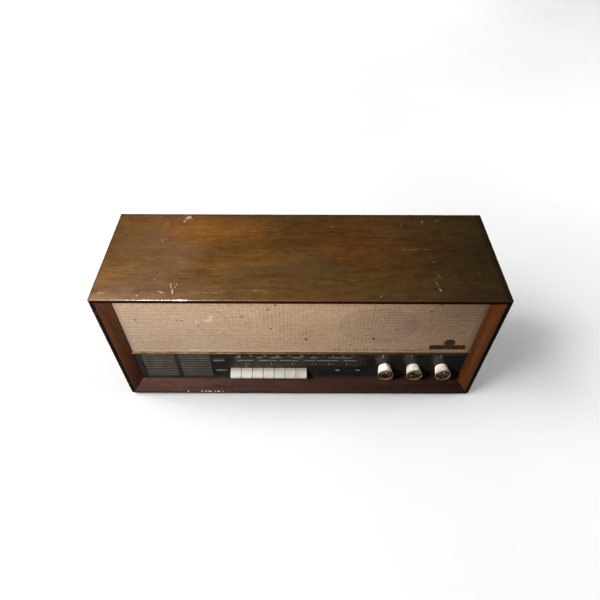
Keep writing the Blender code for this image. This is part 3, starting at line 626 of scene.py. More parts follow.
def raw_wood():
    m = Mat("raw_board_inside")
    g = m.noise(m.map(scale=(6, 110, 110)), 1.0, 4.0, 0.6, 0.3)
    m.colour(m.ramp(g, [(0.3, lin(118, 90, 62)), (0.7, lin(168, 136, 100))]))
    m.rough(m.band(g, 0.2, 0.8, 0.72, 0.86))
    m.normal(m.bump(g, 0.3, 0.0004))
    return m


def cloth_mat():
    """Coarse beige grille cloth: cross ribs, thin warp threads, freckles and handling marks."""
    m = Mat("grille_cloth_weave")
    out = m.xyz()
    wob = m.noise(m.map(scale=(9, 9, 14)), 1.0, 2.0, 0.5)
    x = m.math("ADD", out[0], m.math("MULTIPLY", m.math("SUBTRACT", wob, 0.5), 0.0016))
    z = m.math("ADD", out[2], m.math("MULTIPLY", m.math("SUBTRACT", wob, 0.5), 0.0010))
    tau = 2 * math.pi

    def thread(v, pitch, phase=0.0):
        return m.math("MULTIPLY_ADD", m.math("SINE", m.math("ADD", m.math("MULTIPLY", v, tau / pitch), phase)), 0.5, 0.5)

    rib = thread(z, CLOTH_RIB * MM)
    rib2 = thread(z, CLOTH_RIB * 2 * MM, 0.7)
    warp = thread(x, 0.00145)
    warp2 = thread(x, 0.0058, 1.0)
    slub = m.noise(m.map(scale=(34, 1, 700)), 1.0, 3.0, 0.6)
    slub2 = m.noise(m.map(scale=(700, 1, 22), loc=(3, 0, 1)), 1.0, 3.0, 0.6)
    speck = m.noise(m.map(scale=(900, 900, 900)), 1.0, 2.0, 0.6)
    patch = m.noise(m.map(scale=(9, 1, 13), loc=(7, 0, 2)), 1.0, 3.0, 0.55)
    base = m.ramp(slub, [(0.28, lin(171, 142, 116)), (0.5, lin(182, 153, 126)), (0.74, lin(194, 166, 139))])
    deep = m.band(rib2, 0.05, 0.45, 0.78, 1.0)
    shade = m.math("MULTIPLY_ADD", rib, 0.09, 0.94)
    shade = m.math("MULTIPLY", shade, m.mix(m.band(patch, 0.32, 0.58, 0.15, 1.0), (1, 1, 1, 1), deep))
    shade = m.math("MULTIPLY", shade, m.math("MULTIPLY_ADD", warp, 0.10, 0.95))
    line = m.band(warp2, 0.0, 0.30, 0.70, 1.0)
    uneven = m.math("MULTIPLY", m.band(out[0], -0.20, 0.0, 0.25, 1.0), m.band(m.noise(m.map(scale=(16, 1, 30), loc=(0, 0, 9)), 1.0, 2.0), 0.35, 0.62, 0.25, 1.0))
    shade = m.math("MULTIPLY", shade, m.mix(m.math("MULTIPLY", m.band(slub2, 0.38, 0.58), uneven), (1, 1, 1, 1), line))
    shade = m.math("MULTIPLY", shade, m.band(speck, 0.25, 0.75, 0.84, 1.16))
    blot = m.noise(m.map(scale=(150, 1, 190), loc=(4, 0, 4)), 1.0, 4.0, 0.7)
    shade = m.math("MULTIPLY", shade, m.band(blot, 0.28, 0.72, 0.88, 1.12))
    body = m.mix(1.0, base, shade, "MULTIPLY")
    # broad yellowing and greying at random, and painted light across: darker and cooler toward the left, warmer toward
    # the right, set against the lamp's falloff
    old = m.noise(m.map(scale=(7, 7, 11), loc=(1, 2, 3)), 1.0, 3.0, 0.55)
    body = m.mix(m.band(old, 0.45, 0.70), body, m.mix(1.0, body, (0.95, 0.89, 0.80, 1), "MULTIPLY"))
    body = m.mix(m.band(out[0], 0.06, 0.26), body, m.mix(1.0, body, (1.0, 0.94, 0.86, 1), "MULTIPLY"))
    body = m.mix(m.band(old, 0.52, 0.30), body, m.mix(1.0, body, (1.05, 1.03, 1.05, 1), "MULTIPLY"))
    # painted shade: darker and cooler over the left, against the lamp's falloff
    side = m.band(out[0], -0.30, 0.05, smooth=False)
    body = m.mix(side, m.mix(1.0, body, (0.67, 0.75, 0.85, 1), "MULTIPLY"), m.mix(1.0, body, (0.97, 0.95, 0.88, 1), "MULTIPLY"))
    # the foot of the cloth, just over the trim: a light band with a thin dark line in it
    light_band_low = m.math("MULTIPLY", m.band(z, 0.1035, 0.1025), m.band(slub, 0.3, 0.5, 0.5, 1.0))
    body = m.mix(m.math("MULTIPLY", light_band_low, 0.30), body, lin(214, 184, 140))
    dark_line_low = m.band(m.math("ABSOLUTE", m.math("SUBTRACT", z, 0.1005)), 0.0, 0.0009, 1.0, 0.0)
    body = m.mix(m.math("MULTIPLY", dark_line_low, 0.55), body, lin(112, 76, 44))
    # rust-brown flecks left along the foot of the cloth, at the right
    rust = m.noise(m.map(scale=(230, 1, 420), loc=(5, 0, 5)), 1.0, 3.0, 0.6)
    rust = m.math("MULTIPLY", m.band(rust, 0.50, 0.57), m.math("MULTIPLY", m.band(z, 0.1080, 0.1060), m.band(z, 0.1020, 0.1034)))
    rust = m.math("MULTIPLY", rust, m.math("MULTIPLY", m.band(out[0], 0.035, 0.060), m.band(out[0], 0.232, 0.205)))
    body = m.mix(m.math("MULTIPLY", rust, 0.90), body, lin(92, 50, 28))
    # worn light rubs
    torn = m.noise(m.map(scale=(70, 1, 190), loc=(1, 0, 4)), 1.0, 4.0, 0.65)
    light = None
    for centre, radii, turn, power in (
        ((-140, 178), (13, 3.0), 0.0, 0.60),
        ((-133, 185), (7, 5.5), 0.5, 0.40),
        ((-155, 176), (5, 3.2), -0.4, 0.45),
        ((-122, 158), (5.5, 4.5), 0.2, 0.40),
        ((-112, 157), (2.0, 6.5), 0.2, 0.40),
        ((-128, 149), (7.0, 2.6), 0.2, 0.35),
        ((-154, 147), (3.4, 1.6), 0.0, 0.40),
        ((-170, 104), (10, 1.4), 0.0, 0.75),
        ((-60, 106), (10, 1.0), 0.0, 0.40),
        ((-10, 107), (5, 1.2), 0.0, 0.35),
        ((154.5, 141.5), (3, 1.8), 0.0, 0.45),
        ((80, 205), (30, 1.4), 0.0, 0.15),
    ):
        one = m.math("MULTIPLY", m.spot(centre, radii, turn, 0.8, "xz"), power)
        light = one if light is None else m.math("MAXIMUM", light, one)
    light = m.math("MULTIPLY", light, m.band(torn, 0.40, 0.60))
    body = m.mix(light, body, lin(222, 196, 164))
    # grey-brown stain with a tide line, right of the middle
    dx = m.math("MULTIPLY", m.math("SUBTRACT", out[0], 0.118), 1 / 0.060)
    dz = m.math("MULTIPLY", m.math("SUBTRACT", out[2], 0.166), 1 / 0.042)
    ring = m.math("SQRT", m.math("ADD", m.math("MULTIPLY", dx, dx), m.math("MULTIPLY", dz, dz)))
    ring = m.math("ADD", ring, m.math("MULTIPLY", m.math("SUBTRACT", torn, 0.5), 0.22))
    inside = m.band(ring, 1.02, 0.9)
    tide = m.band(m.math("ABSOLUTE", m.math("SUBTRACT", ring, 0.98)), 0.0, 0.05, 1.0, 0.0)
    body = m.mix(m.math("MULTIPLY", inside, 0.60), body, m.mix(1.0, body, (0.80, 0.78, 0.76, 1), "MULTIPLY"))
    body = m.mix(m.math("MULTIPLY", tide, 0.24), body, lin(110, 84, 62))
    # a broad darker patch at the upper right, and an olive tint toward the right end
    dim_right_patch = m.math("MULTIPLY", m.spot((206, 180), (62, 46), 0.2, 0.9, "xz"), 0.55)
    body = m.mix(dim_right_patch, body, m.mix(1.0, body, (0.80, 0.76, 0.78, 1), "MULTIPLY"))
    olive = m.math("MULTIPLY", m.band(out[0], 0.19, 0.27), m.band(z, 0.150, 0.215))
    body = m.mix(m.math("MULTIPLY", olive, 0.5), body, m.mix(1.0, body, (0.80, 0.82, 0.74, 1), "MULTIPLY"))
    # brown freckles: scattered, and the larger ones in their places
    cell = m.voronoi(m.map(scale=(1, 0.2, 1), loc=(0.13, 0, 0.2)), 46.0)
    some = m.noise(m.map(scale=(31, 1, 31)), 1.0, 1.0)
    freckle = m.math("MULTIPLY", m.band(cell, 0.075, 0.035), m.band(some, 0.50, 0.58))
    spots = m.math("MULTIPLY", freckle, 0.70)
    for centre, radii, turn, power in (
        ((-246.6, 179.5), (2.4, 1.9), 0.0, 0.80),
        ((-258, 194), (1.8, 1.3), 0.0, 0.45),
        ((-205.8, 196), (1.6, 1.3), 0.0, 0.55),
        ((-185, 178), (1.8, 1.5), 0.0, 0.55),
        ((-177, 178), (2.4, 1.6), 0.0, 0.60),
        ((-155, 166), (2.2, 1.9), 0.0, 0.60),
        ((-47, 203.7), (2.2, 2.2), 0.0, 0.85),
        ((-36.5, 213.7), (3.2, 2.0), 0.0, 0.75),
        ((-30, 197), (1.7, 1.7), 0.0, 0.45),
        ((-103, 213.5), (3.0, 1.8), 0.0, 0.50),
        ((-86, 188), (5.5, 4.0), 0.3, 0.30),
        ((-82, 173), (3.0, 2.4), 0.0, 0.30),
        ((-45.5, 159.5), (2.1, 2.0), 0.0, 0.75),
        ((-31, 134.5), (1.7, 1.7), 0.0, 0.50),
        ((9, 133), (3.0, 2.9), 0.4, 0.90),
        ((5, 148), (2.4, 2.2), 0.3, 0.35),
        ((15, 155), (2.0, 1.8), 0.0, 0.40),
        ((114.5, 135), (3.6, 3.4), 0.6, 0.90),
        ((120, 138), (2.2, 1.6), 0.0, 0.50),
        ((125.5, 186.5), (1.7, 1.7), 0.0, 0.70),
        ((104.5, 160), (2.0, 2.0), 0.0, 0.35),
        ((147.5, 156.5), (2.6, 2.2), 0.0, 0.60),
        ((154, 148), (2.4, 2.0), 0.0, 0.30),
        ((192, 200.5), (3.2, 1.8), -0.2, 0.65),
        ((195, 177.5), (2.4, 2.0), 0.0, 0.60),
        ((203, 215), (5.0, 1.9), 0.0, 0.60),
        ((232, 191.5), (2.4, 1.8), 0.0, 0.45),
        ((248, 151), (3.0, 2.0), 0.3, 0.60),
        ((246, 170), (2.0, 1.6), 0.0, 0.35),
        ((200, 146), (2.2, 1.8), 0.0, 0.40),
        ((80.5, 119), (2.2, 2.6), 0.0, 0.40),
        ((-217, 130), (1.6, 1.3), 0.0, 0.30),
        ((-12, 190), (1.8, 1.6), 0.0, 0.30),
    ):
        one = m.math("MULTIPLY", m.spot(centre, radii, turn, 0.7, "xz"), power)
        spots = m.math("MAXIMUM", spots, one)
    body = m.mix(m.math("MINIMUM", m.math("MULTIPLY", spots, 1.25), 1.0), body, lin(84, 50, 32))
    # painted shade in the corners of the recess, beside the splays and under the lid
    recess_shade = m.math("MAXIMUM", m.band(m.math("ABSOLUTE", out[0]), 0.262, 0.2705), m.band(z, 0.220, 0.2265))
    body = m.mix(m.math("MULTIPLY", recess_shade, 0.35), body, lin(96, 72, 52))
    m.colour(body)
    m.rough(m.band(speck, 0.2, 0.8, 0.82, 0.95))
    m.b.inputs["Sheen Weight"].default_value = 0.25
    m.b.inputs["Sheen Roughness"].default_value = 0.5
    m.b.inputs["Specular IOR Level"].default_value = 0.25
    height = m.math("ADD", m.math("MULTIPLY", warp, 0.5), m.math("MULTIPLY", slub, 0.8))
    height = m.math("ADD", height, m.math("MULTIPLY", speck, 0.3))
    m.normal(m.bump(height, 0.45, 0.0005))
    return m


def metal(name, colour, rough, dull=0.5, scale=(60, 60, 60), metallic=1.0, tarnish=None, bump=0.15):
    """Metal with a drifting tarnish and fine handling marks."""
    m = Mat(name, Metallic=metallic)
    n = m.noise(m.map(scale=scale), 1.0, 4.0, 0.6)
    fine = m.noise(m.map(scale=tuple(9 * s for s in scale)), 1.0, 2.0, 0.5)
    dark = tarnish or tuple(c * dull for c in colour[:3]) + (1.0,)
    m.colour(m.mix(m.band(n, 0.38, 0.66), colour, dark))
    m.rough(m.band(n, 0.3, 0.7, rough * 0.85, min(1.0, rough * 1.3)))
    m.normal(m.bump(m.math("ADD", n, fine), bump, 0.0003))
    return m


def ivory(name, along=True):
    """Aged ivory moulding: slightly yellowed, with dirt in the flutes, a painted shade over the front rim, and a low
    gloss.
    """
    m = Mat(name)
    tint = m.noise(m.map(scale=(38, 38, 38)), 1.0, 3.0, 0.55)
    grain = m.noise(m.map(scale=(420, 420, 420)), 1.0, 3.0, 0.6)
    body = m.ramp(tint, [(0.30, lin(214, 206, 192)), (0.52, lin(227, 220, 209)), (0.74, lin(232, 227, 217))])
    spot = m.band(grain, 0.66, 0.78)
    body = m.mix(m.math("MULTIPLY", spot, 0.30), body, lin(150, 126, 96))
    groove = m.add("ShaderNodeAttribute", attribute_name="groove").outputs["Fac"]
    body = m.mix(m.math("MULTIPLY", groove, 0.34), body, lin(120, 104, 84))
    y = m.xyz()[1]
    # painted shade over the front rim of the knob, and darker toward the back by the pane
    body = m.mix(m.band(y, -0.0890, -0.0908, 0.0, 0.95), body, lin(96, 82, 64))
    body = m.mix(m.band(y, -0.0785, -0.0755, 0.0, 0.30), body, lin(150, 134, 112))
    m.colour(body)
    m.rough(m.band(tint, 0.3, 0.7, 0.34, 0.48))
    m.b.inputs["Subsurface Weight"].default_value = 0.08
    m.b.inputs["Subsurface Radius"].default_value = (0.002, 0.0015, 0.001)
    m.normal(m.bump(grain, 0.12, 0.0002))
    return m


def plastic(name, colour, rough=0.45, vary=0.25, scale=70, coat=0.0):
    m = Mat(name)
    n = m.noise(m.map(scale=(scale,) * 3), 1.0, 4.0, 0.6)
    low = tuple(c * (1 - vary) for c in colour[:3]) + (1.0,)
    high = tuple(min(1.0, c * (1 + vary)) for c in colour[:3]) + (1.0,)
    m.colour(m.ramp(n, [(0.3, low), (0.7, high)]))
    m.rough(m.band(n, 0.3, 0.7, rough * 0.85, min(1.0, rough * 1.2)))
    m.b.inputs["Coat Weight"].default_value = coat
    fine = m.noise(m.map(scale=(scale * 9,) * 3), 1.0, 2.0, 0.6)
    m.normal(m.bump(fine, 0.12, 0.0003))
    return m


def hardboard():
    """Pressed brown board with a mesh texture and pale fibres."""
    m = Mat("rear_hardboard")
    flake = m.voronoi(m.map(scale=(1, 0.3, 1.7)), 420.0)
    fibre = m.noise(m.map(scale=(130, 130, 300)), 1.0, 5.0, 0.65, 0.6)
    blotch = m.noise(m.map(scale=(8, 8, 8)), 1.0, 3.0, 0.55)
    body = m.ramp(fibre, [(0.3, lin(58, 42, 30)), (0.55, lin(88, 66, 48)), (0.75, lin(120, 94, 70))])
    body = m.mix(m.band(blotch, 0.4, 0.7, 0.0, 0.55), body, lin(64, 50, 40))
    body = m.mix(m.band(flake, 0.1, 0.02, 0.0, 0.5), body, lin(142, 116, 88))
    dust = m.band(m.noise(m.map(scale=(20, 20, 60), loc=(3, 1, 1)), 1.0, 4.0), 0.55, 0.75, 0.0, 0.35)
    body = m.mix(dust, body, lin(134, 122, 108))
    m.colour(body)
    m.rough(m.band(fibre, 0.2, 0.8, 0.78, 0.92))
    m.normal(m.bump(m.math("ADD", fibre, flake), 0.4, 0.0006))
    return m


def glass_front():
    """The dial pane: black lacquer behind glass, with one clear line under the scales for the pointer."""
    m = Mat("dial_pane_glass")
    out = m.xyz()
    smear = m.noise(m.map(scale=(14, 1, 26)), 1.0, 4.0, 0.6, 0.5)
    dust = m.noise(m.map(scale=(700, 1, 700)), 1.0, 2.0, 0.6)
    tone = m.ramp(smear, [(0.3, (0.0100, 0.0100, 0.0102)), (0.7, (0.022, 0.0212, 0.0206))])
    # the printed scale has a brown ground under it
    ground = m.math(
        "MULTIPLY",
        m.math("MULTIPLY", m.band(out[2], 0.0585, 0.0605), m.band(out[2], 0.0895, 0.0875)),
        m.math("MULTIPLY", m.band(out[0], -0.112, -0.106), m.band(out[0], 0.104, 0.098)),
    )
    tone = m.mix(m.math("MULTIPLY", ground, 0.8), tone, (0.040, 0.033, 0.022, 1))
    tone = m.mix(m.math("MULTIPLY", m.band(dust, 0.60, 0.72), 0.16), tone, lin(120, 112, 100))
    low = m.band(out[2], 0.034, 0.024)
    tone = m.mix(m.math("MULTIPLY", low, m.band(smear, 0.3, 0.7, 0.1, 0.35)), tone, lin(96, 84, 70))
    m.colour(tone)
    m.rough(m.band(smear, 0.3, 0.75, 0.24, 0.38))
    m.b.inputs["Specular IOR Level"].default_value = 0.16
    m.b.inputs["Coat Weight"].default_value = 0.04
    m.b.inputs["Coat Roughness"].default_value = 0.08
    slot = m.band(m.math("ABSOLUTE", m.math("SUBTRACT", out[2], 0.0707)), 0.0006, 0.0009, 1.0, 0.0)
    slot = m.math("MULTIPLY", slot, m.math("MULTIPLY", m.band(out[0], -0.1065, -0.1055), m.band(out[0], 0.1065, 0.1055)))
    m.feed(m.band(slot, 0.0, 1.0, 1.0, 0.45, smooth=False), m.b.inputs["Alpha"])
    return m


def print_ink(name, colour, rough=0.5):
    m = Mat(name)
    n = m.noise(m.map(scale=(300, 300, 300)), 1.0, 3.0, 0.6)
    dark = tuple(c * 0.55 for c in colour[:3]) + (1.0,)
    m.colour(m.ramp(n, [(0.30, dark), (0.6, colour)]))
    m.rough(m.band(n, 0.2, 0.8, rough * 0.8, rough))
    m.normal(m.bump(n, 0.1, 0.0001))
    return m


CLOTH_RIB = 3.14  # mm between the cloth's cross ribs

M_TOP = top_wood()
M_SIDE = side_wood("walnut_side_veneer", "z", 0.95)
M_UNDER = side_wood("walnut_under_veneer", "x", 0.8)
# painted glints: near-white specks on the bottom front edge at the left, and on the lid's rounded front edge
GLINTS_LOW = (
    ((-193.0, 10.4), (1.5, 1.3), 0.9),
    ((-169.0, 10.4), (2.6, 1.2), 0.7),
    ((-162.0, 10.4), (2.0, 1.3), 0.9),
    ((-155.5, 10.4), (3.8, 1.5), 1.0),
    ((-146.5, 10.4), (1.6, 1.2), 0.8),
    ((-140.5, 10.4), (2.6, 1.4), 0.95),
    ((-133.0, 10.4), (1.6, 1.2), 0.8),
    ((-124.0, 10.4), (1.2, 1.0), 0.4),
)
GLINTS_TOP = (((-168.0, 246.0), (8.5, 4.0), 0.85), ((-157.5, 246.0), (4.0, 4.0), 0.45))
# copies of the splayed moulding with their own brightness for how light falls on each face: the right splay painted
# lighter and more orange as the lit face, the bottom one darker against the lamp, with painted light across it
M_SPLAY_TOP = moulding("moulding_top", "x", (0.020, 0.006, 0.003), (0.055, 0.018, 0.008))
M_SPLAY_LOW = moulding("moulding_bottom", "x", (0.025, 0.0092, 0.0060), (0.064, 0.0262, 0.0170), 0.62, 0.0, ((1.16, 1.26, 1.22), (0.66, 0.92, 1.12)))
M_SPLAY_LOW.b.inputs["Specular IOR Level"].default_value = 0.08
M_SPLAY_LEFT = moulding("moulding_left", "z", (0.044, 0.0148, 0.0066), (0.138, 0.0560, 0.0225))
M_SPLAY_RIGHT_PAINTED_LIT = moulding("moulding_right_painted_lit", "z", (0.094, 0.0280, 0.0070), (0.214, 0.0740, 0.0200))
M_EDGE_X = frame_edge("edge_lacquer_x", "x", (0.007, 0.0016, 0.0003), (0.022, 0.0056, 0.0010), 0.0)
M_EDGE_X.b.inputs["Specular IOR Level"].default_value = 0.12
# the bottom front edge: painted light across it, lighter and bluer at the lit left end, with painted glints
M_EDGE_LOW = frame_edge("edge_lacquer_low", "x", (0.022, 0.0120, 0.0092), (0.050, 0.0270, 0.0210), 0.03, GLINTS_LOW, ((1.15, 1.40, 1.55), (0.58, 0.72, 0.90)))
M_EDGE_Z = frame_edge("edge_lacquer_z", "z", (0.004, 0.0016, 0.0008), (0.010, 0.0040, 0.0018), 0.05)
M_RAW = raw_wood()
M_ARRIS_TOP = arris("arris_top", (0.055, 0.024, 0.009), (0.120, 0.060, 0.027), 0.32, 0.66, GLINTS_TOP)
M_ARRIS_LOW = arris("arris_low", (0.030, 0.016, 0.012), (0.070, 0.040, 0.030), 0.26, 0.9, GLINTS_LOW)
M_CLOTH = cloth_mat()
M_TRIM = metal("trim_bronze", lin(138, 118, 92), 0.46, 0.6, (40, 40, 40), tarnish=lin(100, 82, 60))
M_LOUVRE = plastic("louvre_bronze_plastic", lin(43, 36, 29), 0.55, 0.25, 45)
M_LOUVRE.b.inputs["Specular IOR Level"].default_value = 0.12
M_LOUVRE_DARK = plastic("louvre_frame_plastic", lin(36, 37, 36), 0.5, 0.3, 45)
M_LOUVRE_DARK.b.inputs["Specular IOR Level"].default_value = 0.2
M_GLASS = glass_front()
M_INK = print_ink("scale_ink_light", lin(168, 166, 160))
M_INK_DIM = print_ink("scale_ink_dim", lin(118, 116, 112))
M_INK_RED = print_ink("scale_ink_red", lin(92, 56, 48))
M_IVORY = ivory("ivory_moulding")
M_IVORY_KNOB = ivory("ivory_knob_moulding")
M_BRONZE = metal("nameplate_bronze", lin(92, 66, 42), 0.5, 0.6, (60, 60, 60), 0.25, tarnish=lin(62, 46, 30))
M_RUBBER = plastic("rubber_black", lin(34, 33, 32), 0.75, 0.35, 120)
M_STEEL = metal("zinc_plated_steel", lin(150, 150, 146), 0.42, 0.6, (50, 50, 50))
M_ALU = metal("aluminium_plain", lin(182, 182, 184), 0.38, 0.75, (60, 60, 60))
M_PAINT = plastic("grey_black_paint", lin(52, 52, 54), 0.5, 0.35, 40, 0.1)
M_BLACK = plastic("black_matt_paint", lin(30, 29, 28), 0.7, 0.4, 30)
M_PAPER = plastic("cone_paper", lin(46, 42, 38), 0.92, 0.3, 160)
M_FERRITE = plastic("ferrite_rod", lin(62, 58, 56), 0.6, 0.25, 120)
M_PAX = plastic("resin_board", lin(104, 62, 36), 0.5, 0.3, 50)
M_RED = plastic("pointer_red", lin(196, 42, 30), 0.4, 0.15, 120)
M_HARD = hardboard()
M_PLY = raw_wood()


def bulb_glass():
    m = Mat("valve_bulb_glass")
    n = m.noise(m.map(scale=(40, 40, 40)), 1.0, 3.0, 0.6)
    m.colour(m.ramp(n, [(0.3, (0.30, 0.31, 0.32)), (0.7, (0.62, 0.63, 0.65))]))
    m.rough(m.band(n, 0.3, 0.7, 0.06, 0.16))
    m.b.inputs["Alpha"].default_value = 0.45
    return m


M_BULB = bulb_glass()

# ------------------------------------------------------------------ cabinet boards

SECTION_RAW = [
    (0.0, Y_FRONT),
    (EDGE, Y_FRONT),
    (SPLAY_IN, Y_LIP),
    (SPLAY_IN, Y_LIP_BACK),
    (BOARD, Y_LIP_BACK),
    (BOARD, Y_REBATE),
    (REBATE_EDGE, Y_REBATE),
    (REBATE_EDGE, Y_BACK),
    (0.0, Y_BACK),
]
SECTION_R = [1.5, 1.0, 0.5, 0.3, 0, 0.3, 0.3, 0.6, 1.2]


def section():
    """The rounded board section, and a material index for each of its segments."""
    points = fillet(SECTION_RAW, SECTION_R, 4)
    # extra points along the long faces, for the wear in the edges
    out, marks = [], []
    count = len(points)
    for i, p in enumerate(points):
        q = points[(i + 1) % count]
        mid_a, mid_y = (p[0] + q[0]) / 2, (p[1] + q[1]) / 2
        if mid_a < 0.02 and mid_y > Y_FRONT + 1.4:
            mark = 0
        elif mid_a < 1.6 and mid_y < Y_FRONT + 1.6 and not (mid_a > 1.4 and mid_y < Y_FRONT + 0.01):
            mark = 4
        elif EDGE - 1.0 < mid_a < EDGE + 1.0 and Y_FRONT + 0.005 < mid_y < Y_FRONT + 1.2:
            mark = 5
        elif mid_y < Y_FRONT + 1.6 and mid_a < EDGE + 0.6:
            mark = 1
        elif mid_y < Y_LIP_BACK + 0.05 and mid_a >= EDGE:
            mark = 2
        elif mid_a < 1.4:
            mark = 0
        else:
            mark = 3
        length = math.hypot(q[0] - p[0], q[1] - p[1])
        parts = 14 if length > 100 else (5 if length > 10 else 1)
        for k in range(parts):
            t = k / parts
            out.append((p[0] + (q[0] - p[0]) * t, p[1] + (q[1] - p[1]) * t))
            marks.append(mark)
    return out, marks


def outline(a, side, s):
    """The board's line at inset a. s runs from -1 (first mitre) to +1 (last mitre), arcs included."""
    if side in ("top", "bottom"):
        full = CORNER_R_TOP if side == "top" else CORNER_R
        r, inset = max(full - a, 0.0), max(a, full)
        half = HALF_W - inset
        zc = Z_TOP - inset if side == "top" else Z_LOW + inset
        up = 1 if side == "top" else -1
        if abs(s) <= 0.9:
            return half * s / 0.9, zc + up * r
        turn = (abs(s) - 0.9) / 0.1 * math.pi / 4
        return math.copysign(half + r * math.sin(turn), s), zc + up * r * math.cos(turn)
    hand = 1 if side == "right" else -1
    low_r, low_in = max(CORNER_R - a, 0.0), max(a, CORNER_R)
    top_r, top_in = max(CORNER_R_TOP - a, 0.0), max(a, CORNER_R_TOP)
    z_low, z_high = Z_LOW + low_in, Z_TOP - top_in
    x = hand * (HALF_W - a)
    if abs(s) <= 0.9:
        return x, z_low + (z_high - z_low) * (s / 0.9 + 1) / 2
    turn = (abs(s) - 0.9) / 0.1 * math.pi / 4
    if s > 0:
        return hand * (HALF_W - top_in + top_r * math.cos(turn)), z_high + top_r * math.sin(turn)
    return hand * (HALF_W - low_in + low_r * math.cos(turn)), z_low - low_r * math.sin(turn)


def board(node, side, mats):
    points, marks = section()
    bm = bmesh.new()
    stations = [-1, -0.975, -0.95, -0.925] + [0.9 * (i / 30 - 1) for i in range(61)] + [0.925, 0.95, 0.975, 1]
    rings = []
    for s in stations:
        ring = []
        for a, y in points:
            x, z = outline(a, side, s)
            # the saw-cut of the mitre
            if abs(s) == 1:
                if side in ("top", "bottom"):
                    x -= math.copysign(0.14, s)
                else:
                    z -= math.copysign(0.14, s)
            # knocks and rubbing along the outer edges
            if a < 2.2 and abs(s) < 1:
                near = max(0.0, 1 - abs(y - Y_FRONT) / 4) + max(0.0, 1 - abs(y - Y_BACK) / 4)
                if near:
                    n = noise.noise(Vector((x * 0.09, z * 0.09, y * 0.05 + 3)))
                    n2 = max(0.0, noise.noise(Vector((x * 0.31, z * 0.31, 9))) - 0.42)
                    push = near * (0.10 * abs(n) + 0.9 * n2)
                    if side == "top":
                        z -= push
                    elif side == "bottom":
                        z += push
                    else:
                        x -= math.copysign(push, x)
                    y += push if y < 0 else -push
            ring.append((x, y, z))
        rings.append(ring)
    loft(bm, rings, marks, cap_mat=3)
    return make(node + "_veneered", bm, mats, sharp=32, stands_for=[node], double=1e-4)


board("cabinet_top", "top", [M_TOP, M_EDGE_X, M_SPLAY_TOP, M_RAW, M_ARRIS_TOP, M_EDGE_X])
board("cabinet_bottom", "bottom", [M_UNDER, M_EDGE_LOW, M_SPLAY_LOW, M_RAW, M_EDGE_LOW, M_ARRIS_LOW])
board("cabinet_left_side", "left", [M_SIDE, M_EDGE_Z, M_SPLAY_LEFT, M_RAW, M_EDGE_Z, M_EDGE_Z])
board("cabinet_right_side", "right", [M_SIDE, M_EDGE_Z, M_SPLAY_RIGHT_PAINTED_LIT, M_RAW, M_EDGE_Z, M_EDGE_Z])

# ------------------------------------------------------------------ feet
for node in ("foot_front_left", "foot_front_right", "foot_rear_left", "foot_rear_right"):
    x0, x1, y0, y1, z0, z1 = span(node)
    r = (x1 - x0) / 2
    bm = bmesh.new()
    shape = fillet([(0, z0), (r - 1.6, z0), (r, z0 + 1.2), (r, z1), (0, z1)], [0, 0.5, 0.7, 0.3, 0], 4, False)
    turned(bm, shape, ((x0 + x1) / 2, (y0 + y1) / 2), "z", 48)
    make(node + "_rubber", bm, M_RUBBER, stands_for=[node])

# ------------------------------------------------------------------ cloth


def cloth():
    x0, x1, y0, y1, z0, z1 = span("grille_cloth")
    bm = bmesh.new()
    across, up = 150, int((z1 - z0) / CLOTH_RIB * 4)
    front, back = [], []
    for j in range(up + 1):
        z = z0 + (z1 - z0) * j / up
        row_f = []
        for i in range(across + 1):
            x = x0 + (x1 - x0) * i / across
            rib = 0.5 - 0.5 * math.cos(2 * math.pi * z / CLOTH_RIB)
            sag = noise.noise(Vector((x * 0.012, z * 0.02, 2))) * 0.5 + 0.5
            depth = 0.10 + 0.40 * (1 - rib) + 0.35 * sag
            row_f.append(bm.verts.new((x, y0 + depth, z)))
        front.append(row_f)
    for j in (0, up):
        z = z0 + (z1 - z0) * j / up
        back.append([bm.verts.new((x0 + (x1 - x0) * i / across, y1 - 0.05, z)) for i in range(across + 1)])
    for j in range(up):
        for i in range(across):
            bm.faces.new((front[j][i], front[j][i + 1], front[j + 1][i + 1], front[j + 1][i]))
    for i in range(across):
        bm.faces.new((back[0][i + 1], back[0][i], back[1][i], back[1][i + 1]))
        bm.faces.new((front[0][i + 1], front[0][i], back[0][i], back[0][i + 1]))
        bm.faces.new((front[up][i], front[up][i + 1], back[1][i + 1], back[1][i]))
    left = [front[j][0] for j in range(up + 1)]
    right = [front[j][across] for j in range(up + 1)]
    bm.faces.new(left + [back[1][0], back[0][0]])
    bm.faces.new(list(reversed(right)) + [back[0][across], back[1][across]])
    piece = make("speaker_cloth_woven", bm, M_CLOTH, sharp=60, stands_for=["grille_cloth"])
    return piece


cloth()

# ------------------------------------------------------------------ trim strip
x0, x1, y0, y1, z0, z1 = span("trim_strip")
bm = bmesh.new()
shape = fillet(
    [(y1, z0), (y0 + 0.5, z0), (y0, z0 + 0.9), (y0 + 0.5, (z0 + z1) / 2), (y0, z1 - 1.2), (y0 + 0.9, z1), (y1, z1)],
    [0, 0.3, 0.5, 0.8, 0.5, 0.4, 0],
    3,
)
rings = []
for i in range(91):
    x = x0 + (x1 - x0) * i / 90
    ripple = 0.10 * noise.noise(Vector((x * 0.03, 0, 5)))
    rings.append([(x, max(p[0] + (ripple if p[0] < y0 + 1.2 else 0), y0), min(p[1] + ripple, z1)) for p in shape])
loft(bm, rings)
make("trim_strip_pressed", bm, M_TRIM, stands_for=["trim_strip"])

# ------------------------------------------------------------------ louvre
x0, x1, y0, y1, z0, z1 = span("louvre_grille")
BAYS = ((-261.0, -207.5), (-201.0, -149.5))


